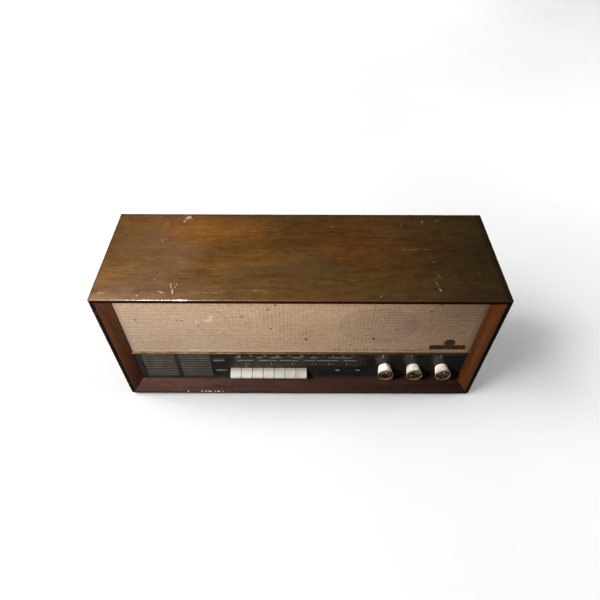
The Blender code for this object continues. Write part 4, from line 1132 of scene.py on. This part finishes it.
def louvre():
    bm = bmesh.new()
    # the surround, as four bars and a mullion, each with a rounded front
    bars = [
        (x0, BAYS[0][0], z0, z1),
        (BAYS[0][1], BAYS[1][0], z0, z1),
        (BAYS[1][1], x1, z0, z1),
    ]
    for a, b, c, d in bars:
        rounded_box(bm, a, b, y0 + 0.2, y1, c, d, 0.7, 3)
    for a, b in BAYS:
        rounded_box(bm, a - 0.5, b + 0.5, y0 + 0.5, y1, z0, 27.6, 0.5, 2)
        rounded_box(bm, a - 0.5, b + 0.5, y0 + 0.5, y1, 91.0, z1, 0.5, 2)
    make("louvre_surround", bm, M_LOUVRE_DARK, sharp=40, stands_for=["louvre_grille"])
    bm = bmesh.new()
    for a, b in BAYS:
        for row in range(9):
            low = 28.0 + row * 7.0
            shape = fillet(
                [(y0 + 0.1, low), (y0 + 0.1, low + 2.3), (y1 - 0.4, low + 6.4), (y1 - 0.4, low + 4.8)],
                [0.5, 0.8, 0.3, 0.3],
                3,
            )
            tilt = rng.uniform(-0.12, 0.12)
            rings = []
            for i in range(13):
                x = a + 0.02 + (b - a - 0.04) * i / 12
                sag = 0.12 * math.sin(math.pi * i / 12) + tilt * (i / 12 - 0.5)
                rings.append([(x, p[0], p[1] - sag) for p in shape])
            loft(bm, rings)
    make("louvre_slats", bm, M_LOUVRE, sharp=40)


louvre()

# ------------------------------------------------------------------ dial prints
GLASS_Y = span("dial_glass")[2]


def printed(name, boxes, mat, thick=0.12):
    """Raised screen print on the pane: thin plates with rounded corners. boxes are (x0, x1, z0, z1)."""
    bm = bmesh.new()
    for a, b, c, d in boxes:
        r = min(0.35, (b - a) * 0.4, (d - c) * 0.4)
        ring = fillet([(a, c), (b, c), (b, d), (a, d)], [r] * 4, 2)
        rings = [[(p[0], GLASS_Y - 0.03, p[1]) for p in ring], [(p[0], GLASS_Y - thick, p[1]) for p in ring]]
        loft(bm, rings)
    return make(name, bm, mat, sharp=50)


def dashes(z, h, runs):
    return [(a, b, z - h / 2, z + h / 2) for a, b in runs]


ROW_A = [(-106, -98), (-71, -63), (-49, -30), (-13, 3), (17, 28), (46, 84)]
ROW_B = [(-104, -77), (-68, -39), (-34, -5), (8, 25), (28, 64), (72, 93)]
TICKS = [-90, -48, -13, 20, 48, 77]
printed("scale_bands_upper", dashes(83.6, 1.15, ROW_A), M_INK)
printed("scale_bands_lower", dashes(75.9, 1.0, ROW_B), M_INK)
printed("scale_rule", dashes(73.2, 0.35, [(-105, 96)]), M_INK_DIM)
printed("scale_ticks", [(t - 0.5, t + 0.5, 64.4, 68.6) for t in TICKS], M_INK)
fine_ticks = [(-104 + 4 * i - 0.17, -104 + 4 * i + 0.17, 77.8, 79.4 + (0.9 if i % 5 == 0 else 0)) for i in range(50)]
printed("scale_fine_ticks", fine_ticks, M_INK_DIM)
printed("station_list", [(99.5, 99.5 + w, 82.6 - 4.1 * k, 83.4 - 4.1 * k) for k, w in enumerate((10.5, 12.0, 9.0, 11.5, 10.0))], M_INK_RED)
printed("window_marks", [(59.4, 66.4, 46.4, 48.3), (93.6, 100.4, 46.4, 48.3)], print_ink("window_ink", lin(196, 188, 178)))
printed("side_legend_upper", [(-143.5, -125.5, 73.4, 76.6)], M_INK_DIM)
printed("side_legend_lower", [(-141.8, -126.6, 45.0, 48.6)], M_INK_DIM)
printed("side_legend_rules", [(-143.5, -125.5, 79.2, 79.8), (-125.4, -124.6, 44.0, 50.0)], M_INK_DIM)


def numerals(name, rows, mat):
    """Plain figures of a tuning scale."""
    made = []
    for words, x, z, size in rows:
        curve = bpy.data.curves.new(name, "FONT")
        curve.body = words
        curve.size = size * MM
        curve.extrude = 0.00004
        curve.resolution_u = 2
        curve.align_x = "CENTER"
        text = bpy.data.objects.new(name, curve)
        bpy.context.scene.collection.objects.link(text)
        text.rotation_euler = (math.pi / 2, 0, 0)
        text.location = (x * MM, (GLASS_Y - 0.08) * MM, z * MM)
        bpy.context.view_layer.update()
        dg = bpy.context.evaluated_depsgraph_get()
        mesh = bpy.data.meshes.new_from_object(text.evaluated_get(dg))
        mesh.transform(text.matrix_world)
        made.append(mesh)
        bpy.data.objects.remove(text)
    bm = bmesh.new()
    for mesh in made:
        bm.from_mesh(mesh)
        bpy.data.meshes.remove(mesh)
    bmesh.ops.scale(bm, verts=bm.verts, vec=(1000, 1000, 1000))
    return make(name, bm, mat, sharp=50, double=1e-6)


numerals(
    "scale_figures_top",
    [(w, x, 87.0, 4.6) for w, x in zip(("88", "92", "96", "100", "104", "108"), (-100, -80, -58, -38, -18, 2))]
    + [(w, x, 87.0, 4.6) for w, x in zip(("6", "7", "8", "10", "12"), (22, 38, 54, 70, 86))],
    M_INK,
)
numerals(
    "scale_figures_low",
    [(w, x, 57.4, 4.2) for w, x in zip(("150", "200", "250", "300", "350"), (-108, -90, -71, -53, -34))],
    M_INK_DIM,
)
numerals("scale_figures_mid", [(w, x + 5, 64.8, 4.4) for w, x in zip(("55", "6", "8", "10", "14", "16"), TICKS)], M_INK_DIM)

# short light strokes on the pane over the knobs
for k, node in enumerate(("volume_knob", "tone_knob", "tuning_knob")):
    a = span(node)
    mid = (a[0] + a[1]) / 2
    bm = bmesh.new()
    x = mid - 6.2
    for c, d, w in ((86.4, 91.6, 0.75), (82.8, 85.6, 0.4)):
        rounded_box(bm, x - w, x + w, GLASS_Y - 0.16, GLASS_Y - 0.02, c, d, 0.06, 1)
        x += 0.6
    make(f"index_stroke_{k + 1}", bm, print_ink(f"pane_stroke_ink_{k + 1}", lin(*((214, 206, 200), (128, 122, 108), (186, 178, 168))[k])))

# ------------------------------------------------------------------ keys


def key(number):
    node = f"key_{number}"
    x0, x1, y0, y1, z0, z1 = span(node)
    mid, half = (x0 + x1) / 2, (x1 - x0) / 2
    shape = fillet(
        [
            (-73.4, 52.4),
            (-84.8, 48.5),
            (-88.15, 45.2),
            (-88.15, 42.3),
            (-80.0, 40.0),
            (-62.0, 39.4),
            (-62.0, 49.4),
            (-68.0, 52.4),
        ],
        [1.2, 3.0, 2.0, 0.7, 2.0, 0.4, 0.4, 1.2],
        5,
    )
    cy = sum(p[0] for p in shape) / len(shape)
    cz = sum(p[1] for p in shape) / len(shape)
    lean = rng.uniform(-0.12, 0.12)
    rings = []
    edge = 0.75
    for i in range(-12, 13):
        s = i / 12
        x = s * half
        d = half - abs(x)
        # crowd the stations into the rounded ends
        if abs(i) >= 9:
            t = (abs(i) - 9) / 3
            d = edge * (1 - math.sin(t * math.pi / 2))
            x = math.copysign(half - d, s)
        else:
            x = s * 12 / 9 * (half - edge)
            d = edge + 1
        pull = edge - math.sqrt(max(0.0, edge * edge - (edge - min(d, edge)) ** 2))
        ring = []
        for y, z in shape:
            vy, vz = cy - y, cz - z
            length = math.hypot(vy, vz)
            yy, zz = y + vy / length * pull, z + vz / length * pull
            if z > 44 and y < -69:
                dish = 0.42 * (1 - (x / half) ** 2)
                zz -= dish
            ring.append((mid + x, yy, zz + lean * 0.2))
        rings.append(ring)
    bm = bmesh.new()
    loft(bm, rings)
    lever = fillet(
        [(-64.0, 40.0), (-34.0, 39.0), (-18.5, 39.6), (-18.5, 48.4), (-34.0, 49.0), (-64.0, 48.0)],
        [0.2, 1, 2.5, 2.5, 1, 0.2],
        4,
    )
    loft(bm, [[(mid + s, p[0], p[1]) for p in lever] for s in (-3.0, 3.0)])
    tint = key_tints[number - 1]
    return make(node + "_cap", bm, [tint], f"key_{number}_lever", sharp=42, stands_for=[node])


def key_ivory(number, shade):
    m = Mat(f"ivory_key_{number}")
    tint = m.noise(m.map(scale=(60, 60, 60), loc=(number, 0, 0)), 1.0, 3.0, 0.55)
    grain = m.noise(m.map(scale=(500, 500, 500)), 1.0, 3.0, 0.6)
    body = m.ramp(
        tint,
        [
            (0.3, tuple(c * 0.88 for c in shade[:3]) + (1,)),
            (0.55, shade),
            (0.8, tuple(min(1, c * 1.06) for c in shade[:3]) + (1,)),
        ],
    )
    # painted shade toward the back, where the key meets the pane, and a lighter nose
    y = m.xyz()[1]
    back_shade_mask = m.math("MULTIPLY", m.band(y, -0.0815, -0.0745), m.band(tint, 0.3, 0.7, 0.6, 0.9))
    body = m.mix(back_shade_mask, body, lin(128, 118, 102))
    nose = m.band(m.xyz()[2], 0.0440, 0.0412)
    body = m.mix(m.math("MULTIPLY", nose, 0.30), body, lin(232, 226, 216))
    worn = m.band(m.noise(m.map(scale=(900, 90, 90), loc=(0, number, 3)), 1.0, 2.0), 0.60, 0.72)
    body = m.mix(m.math("MULTIPLY", worn, 0.14), body, lin(150, 132, 108))
    m.colour(body)
    m.rough(m.band(tint, 0.3, 0.7, 0.30, 0.44))
    m.b.inputs["Subsurface Weight"].default_value = 0.08
    m.b.inputs["Subsurface Radius"].default_value = (0.002, 0.0015, 0.001)
    m.normal(m.bump(grain, 0.10, 0.0002))
    return m


key_tints = [
    key_ivory(i + 1, lin(*c))
    for i, c in enumerate(
        ((178, 177, 168), (179, 178, 170), (179, 175, 169), (181, 176, 172), (178, 177, 168), (178, 174, 166), (180, 174, 166))
    )
]
for n in range(1, 8):
    key(n)

# ------------------------------------------------------------------ knobs


def spun_brass(name, seed, glint_spots=()):
    """A turned dish: fine circular tool marks spread the light into a fan."""
    m = Mat(name, Metallic=1.0, Anisotropic=0.72)
    out = m.xyz()
    r = m.math("SQRT", m.math("ADD", m.math("MULTIPLY", out[0], out[0]), m.math("MULTIPLY", out[2], out[2])))
    turns = m.math("SINE", m.math("MULTIPLY", r, 2 * math.pi / 0.00055))
    spot = m.noise(m.map(scale=(240, 240, 240), loc=(seed, 0, 0)), 1.0, 4.0, 0.6)
    body = m.ramp(spot, [(0.35, lin(74, 48, 20)), (0.55, lin(150, 112, 56)), (0.75, lin(206, 168, 98))])
    old = m.band(r, 0.0085, 0.0112)
    body = m.mix(m.math("MULTIPLY", old, 0.7), body, lin(64, 48, 24))
    flecks = None
    for centre, radii, turn, power in glint_spots:
        one = m.math("MULTIPLY", m.spot(centre, radii, turn, 0.6, "xz"), power)
        flecks = one if flecks is None else m.math("MAXIMUM", flecks, one)
    if flecks is not None:
        # painted glints: near-white, less metallic patches on the dish
        body = m.mix(flecks, body, lin(255, 246, 220))
        m.link(m.math("MULTIPLY_ADD", flecks, -0.75, 1.0), m.b.inputs["Metallic"])
    m.colour(body)
    m.rough(m.band(spot, 0.3, 0.7, 0.24, 0.36))
    tangent = m.add("ShaderNodeTangent", direction_type="RADIAL", axis="Y")
    m.link(tangent.outputs[0], m.b.inputs["Tangent"])
    m.normal(m.bump(m.math("ADD", turns, m.math("MULTIPLY", spot, 0.4)), 0.12, 0.0001))
    return m


# painted glints on each knob's dish: centre, radii, turn and strength
PAINTED_GLINTS = {
    "volume": (((0.0, 6.2), (2.0, 3.0), 0.0, 0.95), ((-4.5, 3.0), (3.0, 1.6), 0.6, 0.35)),
    "tone": (((3.5, 5.5), (4.2, 2.2), -0.4, 0.55), ((-4.0, -2.0), (4.0, 2.4), 0.3, 0.30), ((1.0, 7.0), (1.4, 1.6), 0.0, 0.7)),
    "tuning": (((0.5, 5.0), (1.6, 3.4), 0.1, 0.95), ((-5.5, 2.5), (3.4, 1.2), -0.5, 0.55), ((5.5, 2.0), (3.2, 1.0), 0.5, 0.55), ((0.5, -5.0), (1.0, 3.0), 0.0, 0.40)),
}


def knob(kind, body, pip):
    node = f"{kind}_knob"
    x0, x1, y0, y1, z0, z1 = span(node)
    cx, cz = (x0 + x1) / 2, (z0 + z1) / 2
    rf = (x1 - x0) / 2
    side = fillet(
        [
            (0, y1 - 0.01),
            (9.7, y1 - 0.01),
            (10.2, y1 - 1.0),
            (10.9, -81.0),
            (11.8, -87.5),
            (12.25, -90.6),
            (rf - 0.15, -91.6),
            (rf - 0.15, y0 + 0.02),
            (11.85, y0 + 0.02),
            (11.55, y0 + 1.0),
            (11.5, -90.35),
            (0, -90.35),
        ],
        [0, 0.3, 0.4, 1, 2, 0.4, 0.5, 0.7, 0.5, 0.3, 0, 0],
        4,
        False,
    )
    # denser along the fluted side
    dense = []
    for p, q in zip(side[:-1], side[1:]):
        dense.append(p)
        if math.hypot(p[0] - q[0], p[1] - q[1]) > 2 and p[0] > 5 and q[0] > 5:
            for k in range(1, 5):
                dense.append((p[0] + (q[0] - p[0]) * k / 5, p[1] + (q[1] - p[1]) * k / 5))
    dense.append(side[-1])
    flutes = 30

    def mod(r, h, t):
        if r < 1:
            return r
        if -91.0 < h < y1 - 0.8 and 9.5 < r < 12.6:
            fade = min(1.0, (h + 91.0) / 1.2) * min(1.0, (y1 - 0.8 - h) / 0.8)
            wave = abs(math.sin(flutes * t / 2))
            r = r - 0.75 * fade * (1 - wave) ** 1.2 + 0.05
        if h > -80.6 and 9 < r:
            away = abs((t - math.radians(pip) + math.pi) % (2 * math.pi) - math.pi)
            lift = max(0.0, 1 - away / math.radians(15)) * min(1.0, (h + 80.6) / 2.6)
            r += 1.9 * lift * (r > 9.4)
        return r

    bm = bmesh.new()
    turned(bm, dense, (cx, cz), "y", flutes * 10, mod)
    piece = make(node + "_fluted", bm, M_IVORY_KNOB, body, sharp=50, stands_for=[node])
    groove = piece.data.attributes.new("groove", "FLOAT", "POINT")
    for k, v in enumerate(piece.data.vertices):
        dx, dz, h = v.co.x * 1000 - cx, v.co.z * 1000 - cz, v.co.y * 1000
        t = math.atan2(dz, dx)
        deep = (1 - abs(math.sin(flutes * t / 2))) ** 1.4 if -91.0 < h < y1 - 0.8 and math.hypot(dx, dz) > 9 else 0.0
        groove.data[k].value = deep
    cap = node + "_cap"
    a = span(cap)
    rc = (a[1] - a[0]) / 2 - 0.02
    y_rim, y_back = a[2], a[3]
    shape = fillet(
        [(0, y_back), (rc, y_back), (rc, y_rim + 0.35), (rc - 0.5, y_rim), (rc - 1.2, y_rim + 0.05), (8.4, y_rim + 0.75), (2.0, y_rim + 1.15), (0, y_rim + 1.18)],
        [0, 0, 0.2, 0.25, 0.3, 1.5, 2, 0],
        4,
        False,
    )
    bm = bmesh.new()
    turned(bm, shape, (cx, cz), "y", 96)
    make(cap + "_spun", bm, spun_brass(cap + "_brass", len(kind) * 1.7, PAINTED_GLINTS[kind]), body, sharp=50, stands_for=[cap], at=(cx, y_rim, cz))


knob("volume", "volume_control", 90)
knob("tone", "tone_control", 215)
knob("tuning", "tuning_control", 330)

# ------------------------------------------------------------------ nameplate: a blank bar with a plain boss
x0, x1, y0, y1, z0, z1 = span("nameplate")
bm = bmesh.new()
bar = fillet([(x0, z0), (x1, z0), (x1, z0 + 9.6), (x0, z0 + 9.6)], [1.0] * 4, 4)
cx, cz, rr = 233.6, 127.0, 7.8
rings = []
for inset, y in ((0, y1), (0, y0 + 0.55), (0.25, y0 + 0.3), (0.9, y0 + 0.3), (1.1, y0 + 0.55)):
    mx, mz = (x0 + x1) / 2, z0 + 4.8
    hx, hz = (x1 - x0) / 2, 4.8
    rings.append([(mx + (p[0] - mx) * (hx - inset) / hx, y, mz + (p[1] - mz) * (hz - inset) / hz) for p in bar])
loft(bm, rings)
make("nameplate_blank_bar", bm, M_BRONZE, sharp=30, stands_for=["nameplate"])
bm = bmesh.new()
boss = fillet([(0, y1), (rr, y1), (rr, y0 + 0.35), (rr - 0.7, y0 + 0.02), (rr - 1.5, y0 + 0.02), (rr - 2.0, y0 + 0.5), (0, y0 + 0.15)], [0, 0, 0.3, 0.3, 0.3, 0.3, 0], 3, False)
turned(bm, boss, (cx, cz), "y", 64)
make("nameplate_plain_boss", bm, plastic("boss_enamel", lin(58, 52, 40), 0.45, 0.2, 80, 0.05), sharp=30)

# ------------------------------------------------------------------ back
for n in range(1, 5):
    node = f"rear_cover_screw_{n}"
    x0, x1, y0, y1, z0, z1 = span(node)
    cx, cz = (x0 + x1) / 2, (z0 + z1) / 2
    bm = bmesh.new()
    shape = fillet([(0, y0), (1.4, y0 + 1.2), (1.45, 90.6), (3.25, 90.6), (3.2, 91.3), (2.2, y1 - 0.25), (0, y1 - 0.02)], [0, 0, 0, 0.2, 0.5, 1.0, 0], 4, False)
    turned(bm, shape, (cx, cz), "y", 40)
    head = make(node + "_slotted", bm, M_STEEL, sharp=35, stands_for=[node])
    cut = bmesh.new()
    turn = rng.uniform(0, math.pi)
    made = bmesh.ops.create_cube(cut, size=1.0)
    bmesh.ops.scale(cut, verts=cut.verts, vec=(8 * MM, 1.2 * MM, 0.75 * MM))
    bmesh.ops.rotate(cut, verts=cut.verts, matrix=Matrix.Rotation(turn, 3, "Y"))
    bmesh.ops.translate(cut, verts=cut.verts, vec=(cx * MM, (y1 + 0.1) * MM, cz * MM))
    mesh = bpy.data.meshes.new("slot_tool")
    cut.to_mesh(mesh)
    cut.free()
    tool = bpy.data.objects.new("slot_tool", mesh)
    bpy.context.scene.collection.objects.link(tool)
    mod = head.modifiers.new("slot", "BOOLEAN")
    mod.operation, mod.solver, mod.object = "DIFFERENCE", "EXACT", tool
    apply_modifiers(head)
    bpy.data.objects.remove(tool)
    head.data.shade_smooth()
    head.data.set_sharp_from_angle(angle=math.radians(35))

x0, x1, y0, y1, z0, z1 = span("mains_gland")
bm = bmesh.new()
shape = fillet(
    [(3.6, y0), (8.0, y0), (8.0, 87.0), (5.7, 87.0), (5.7, 90.6), (8.0, 90.6), (7.2, 92.4), (5.4, y1), (3.6, y1)],
    [0.3, 0.3, 0.2, 0, 0, 0.4, 0.8, 0.5, 0.4],
    4,
)
turned(bm, shape, ((x0 + x1) / 2, (z0 + z1) / 2), "y", 64)
make("mains_gland_rubber", bm, M_RUBBER, stands_for=["mains_gland"])

# ------------------------------------------------------------------ CAD nodes that stay as they are


def paint(node, mat):
    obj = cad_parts[node]
    obj.data.materials.clear()
    obj.data.materials.append(mat.m)


paint("dial_glass", M_GLASS)
paint("rear_cover", M_HARD)
paint("speaker_baffle", M_PLY)
paint("dial_backplate", M_BLACK)
paint("pointer_rail", M_STEEL)
paint("dial_pointer", M_RED)
for node in ("dial_lamp_left", "dial_lamp_right", "valve_1", "valve_2", "valve_3", "valve_4"):
    paint(node, M_BULB)
for node in ("chassis", "key_bank_frame", "volume_potentiometer", "tone_potentiometer", "volume_shaft", "tone_shaft", "main_speaker_basket"):
    paint(node, M_STEEL)
for node in ("mains_transformer", "output_transformer", "main_speaker_magnet", "small_speaker"):
    paint(node, M_PAINT)
for node in ("tuning_capacitor_frame", "tuning_capacitor_rotor", "smoothing_capacitor"):
    paint(node, M_ALU)
paint("tuning_shaft", metal("brass_plain", lin(186, 152, 88), 0.35, 0.6, (60, 60, 60)))
paint("main_speaker_cone", M_PAPER)
paint("ferrite_aerial", M_FERRITE)
paint("socket_panel", M_PAX)

# ------------------------------------------------------------------ floor, camera and light


def floor():
    bm = bmesh.new()
    size, count = 6.0, 24
    rows = [[bm.verts.new((-size + 2 * size * i / count, -size + 2 * size * j / count + 1.0, 0)) for i in range(count + 1)] for j in range(count + 1)]
    for j in range(count):
        for i in range(count):
            bm.faces.new((rows[j][i], rows[j][i + 1], rows[j + 1][i + 1], rows[j + 1][i]))
    mesh = bpy.data.meshes.new("floor")
    bm.to_mesh(mesh)
    bm.free()
    m = Mat("floor_paper")
    n = m.noise(m.map(scale=(3, 3, 3)), 1.0, 3.0, 0.5)
    m.colour(m.ramp(n, [(0.3, (0.90, 0.90, 0.90)), (0.7, (0.93, 0.93, 0.93))]))
    m.rough(0.9)
    m.b.inputs["Specular IOR Level"].default_value = 0.1
    mesh.materials.append(m.m)
    obj = bpy.data.objects.new("floor", mesh)
    bpy.context.scene.collection.objects.link(obj)
    obj.visible_diffuse = False
    obj.visible_glossy = False
    return obj


ground = floor()

camera_data = bpy.data.cameras.new("camera")
camera_data.sensor_width = 36
camera_data.lens = 28.865
camera_data.clip_start = 0.01
camera_data.clip_end = 50
camera = bpy.data.objects.new("camera", camera_data)
pitch, yaw, roll = 0.841175368, -6.24138957e-04, 3.70043794e-03
f = Vector((0, math.cos(pitch), -math.sin(pitch)))
u = Vector((0, math.sin(pitch), math.cos(pitch)))
r = Vector((1, 0, 0))
turn = Matrix.Rotation(yaw, 3, "Z")
f, u, r = turn @ f, turn @ u, turn @ r
r2 = math.cos(roll) * r + math.sin(roll) * u
u2 = -math.sin(roll) * r + math.cos(roll) * u
rotation = Matrix((r2, u2, -f)).transposed().to_4x4()
camera.matrix_world = Matrix.Translation((-0.00102, -0.43580 - 0.094, 0.73490)) @ rotation
bpy.context.scene.collection.objects.link(camera)
bpy.context.scene.camera = camera

only_floor = bpy.data.collections.new("only_floor")
only_floor.objects.link(ground)
not_floor = bpy.data.collections.new("not_floor")
not_floor.objects.link(ground)


def area(name, place, target, size, power, colour=(1, 1, 1), size_y=None, target_set=None, state="INCLUDE", shown=False):
    data = bpy.data.lights.new(name, "AREA")
    data.energy = power
    data.color = colour
    data.shape = "RECTANGLE"
    data.size = size
    data.size_y = size_y or size
    light = bpy.data.objects.new(name, data)
    bpy.context.scene.collection.objects.link(light)
    light.location = place
    light.rotation_euler = (Vector(target) - Vector(place)).to_track_quat("-Z", "Y").to_euler()
    light.visible_camera = shown
    if target_set:
        light.light_linking.receiver_collection = target_set
        for item in target_set.collection_objects:
            item.light_linking.link_state = state
    return light


# the lamp: close, over the front left corner, and dimmer away from its middle
lamp_data = bpy.data.lights.new("lamp_key", "SPOT")
lamp_data.energy = 33.0
lamp_data.color = (1.0, 0.975, 0.955)
lamp_data.spot_size = math.radians(96)
lamp_data.spot_blend = 1.0
lamp_data.shadow_soft_size = 0.085
lamp = bpy.data.objects.new("lamp_key", lamp_data)
bpy.context.scene.collection.objects.link(lamp)
lamp.location = (-0.37, -0.48, 0.64)
lamp.rotation_euler = (Vector((-0.26, -0.12, 0.24)) - Vector((-0.37, -0.48, 0.64))).to_track_quat("-Z", "Y").to_euler()
lamp.light_linking.receiver_collection = not_floor
for item in not_floor.collection_objects:
    item.light_linking.link_state = "EXCLUDE"
# two small glints beside the lamp, which run along the rounded edges and into the knobs' dishes
glint = area("lamp_glint", (-0.327, -0.53, 0.735), (-0.16, -0.08, 0.15), 0.030, 0.8, (1.0, 0.98, 0.96), target_set=not_floor, state="EXCLUDE")
strip = area("lamp_strip", (-0.56, -0.53, 0.735), (-0.22, -0.08, 0.2), 0.22, 0.8, (1.0, 0.95, 0.92), size_y=0.05, target_set=not_floor, state="EXCLUDE")
# a white card over the knobs, seen by them alone
only_knobs = bpy.data.collections.new("only_knobs")
for kind in ("volume", "tone", "tuning"):
    for ending in ("_knob_fluted", "_knob_cap_spun"):
        only_knobs.objects.link(bpy.data.objects[kind + ending])
area("card_over_knobs", (0.0, -0.38, 0.72), (0.19, -0.085, 0.06), 0.25, 0.4, (1.0, 0.98, 0.95), target_set=only_knobs)
# the room: weak, from both sides and behind, under the lid's height
area("room_right", (1.5, 0.30, 0.02), (0, 0.1, 0.12), 1.2, 5.0, (1.0, 0.98, 0.95), size_y=0.35, target_set=not_floor, state="EXCLUDE")
area("room_left", (-1.5, 0.40, 0.02), (0, 0.1, 0.12), 1.2, 5.0, (1.0, 0.98, 0.95), size_y=0.35, target_set=not_floor, state="EXCLUDE")
area("room_back", (0.1, 1.6, 0.02), (0, 0, 0.12), 1.4, 22.0, (1.0, 0.98, 0.95), size_y=0.35, target_set=not_floor, state="EXCLUDE")
# the paper under it: soft lights that only reach the floor, so its shadow falls to the right and a little forward
for k, (place, radius, share) in enumerate(
    (
        ((-2.89, 0.1, 3.45), 1.05, 7.726),
        ((-2.51, -1.35, 3.45), 1.05, 4.489),
        ((0.98, 0.66, 0.65), 0.42, 0.105),
        ((4.35, 0.1, 1.16), 1.05, 15.663),
        ((-1.59, -0.82, 1.84), 0.63, 0.521),
        ((-3.76, -2.07, 1.16), 1.05, 7.479),
        ((-3.9, 0.1, 2.25), 1.05, 3.752),
        ((-1.95, -1.03, 1.3), 0.63, 0.859),
        ((-2.51, 1.55, 3.45), 1.05, 1.690),
        ((0.0, 2.61, 0.67), 0.63, 1.105),
    )
):
    data = bpy.data.lights.new(f"paper_light_{k}", "POINT")
    data.energy = share * 40.4
    data.shadow_soft_size = radius * 0.85
    light = bpy.data.objects.new(f"paper_light_{k}", data)
    bpy.context.scene.collection.objects.link(light)
    light.location = place
    light.visible_camera = False
    light.light_linking.receiver_collection = only_floor

world = bpy.data.worlds.new("room")
world.use_nodes = True
world.node_tree.nodes["Background"].inputs["Color"].default_value = (1.0, 0.93, 0.86, 1)
world.node_tree.nodes["Background"].inputs["Strength"].default_value = 0.06
bpy.context.scene.world = world
bpy.context.scene.view_settings.view_transform = "Standard"
bpy.context.scene.view_settings.look = "None"
bpy.context.scene.view_settings.exposure = 0
bpy.context.scene.view_settings.gamma = 1
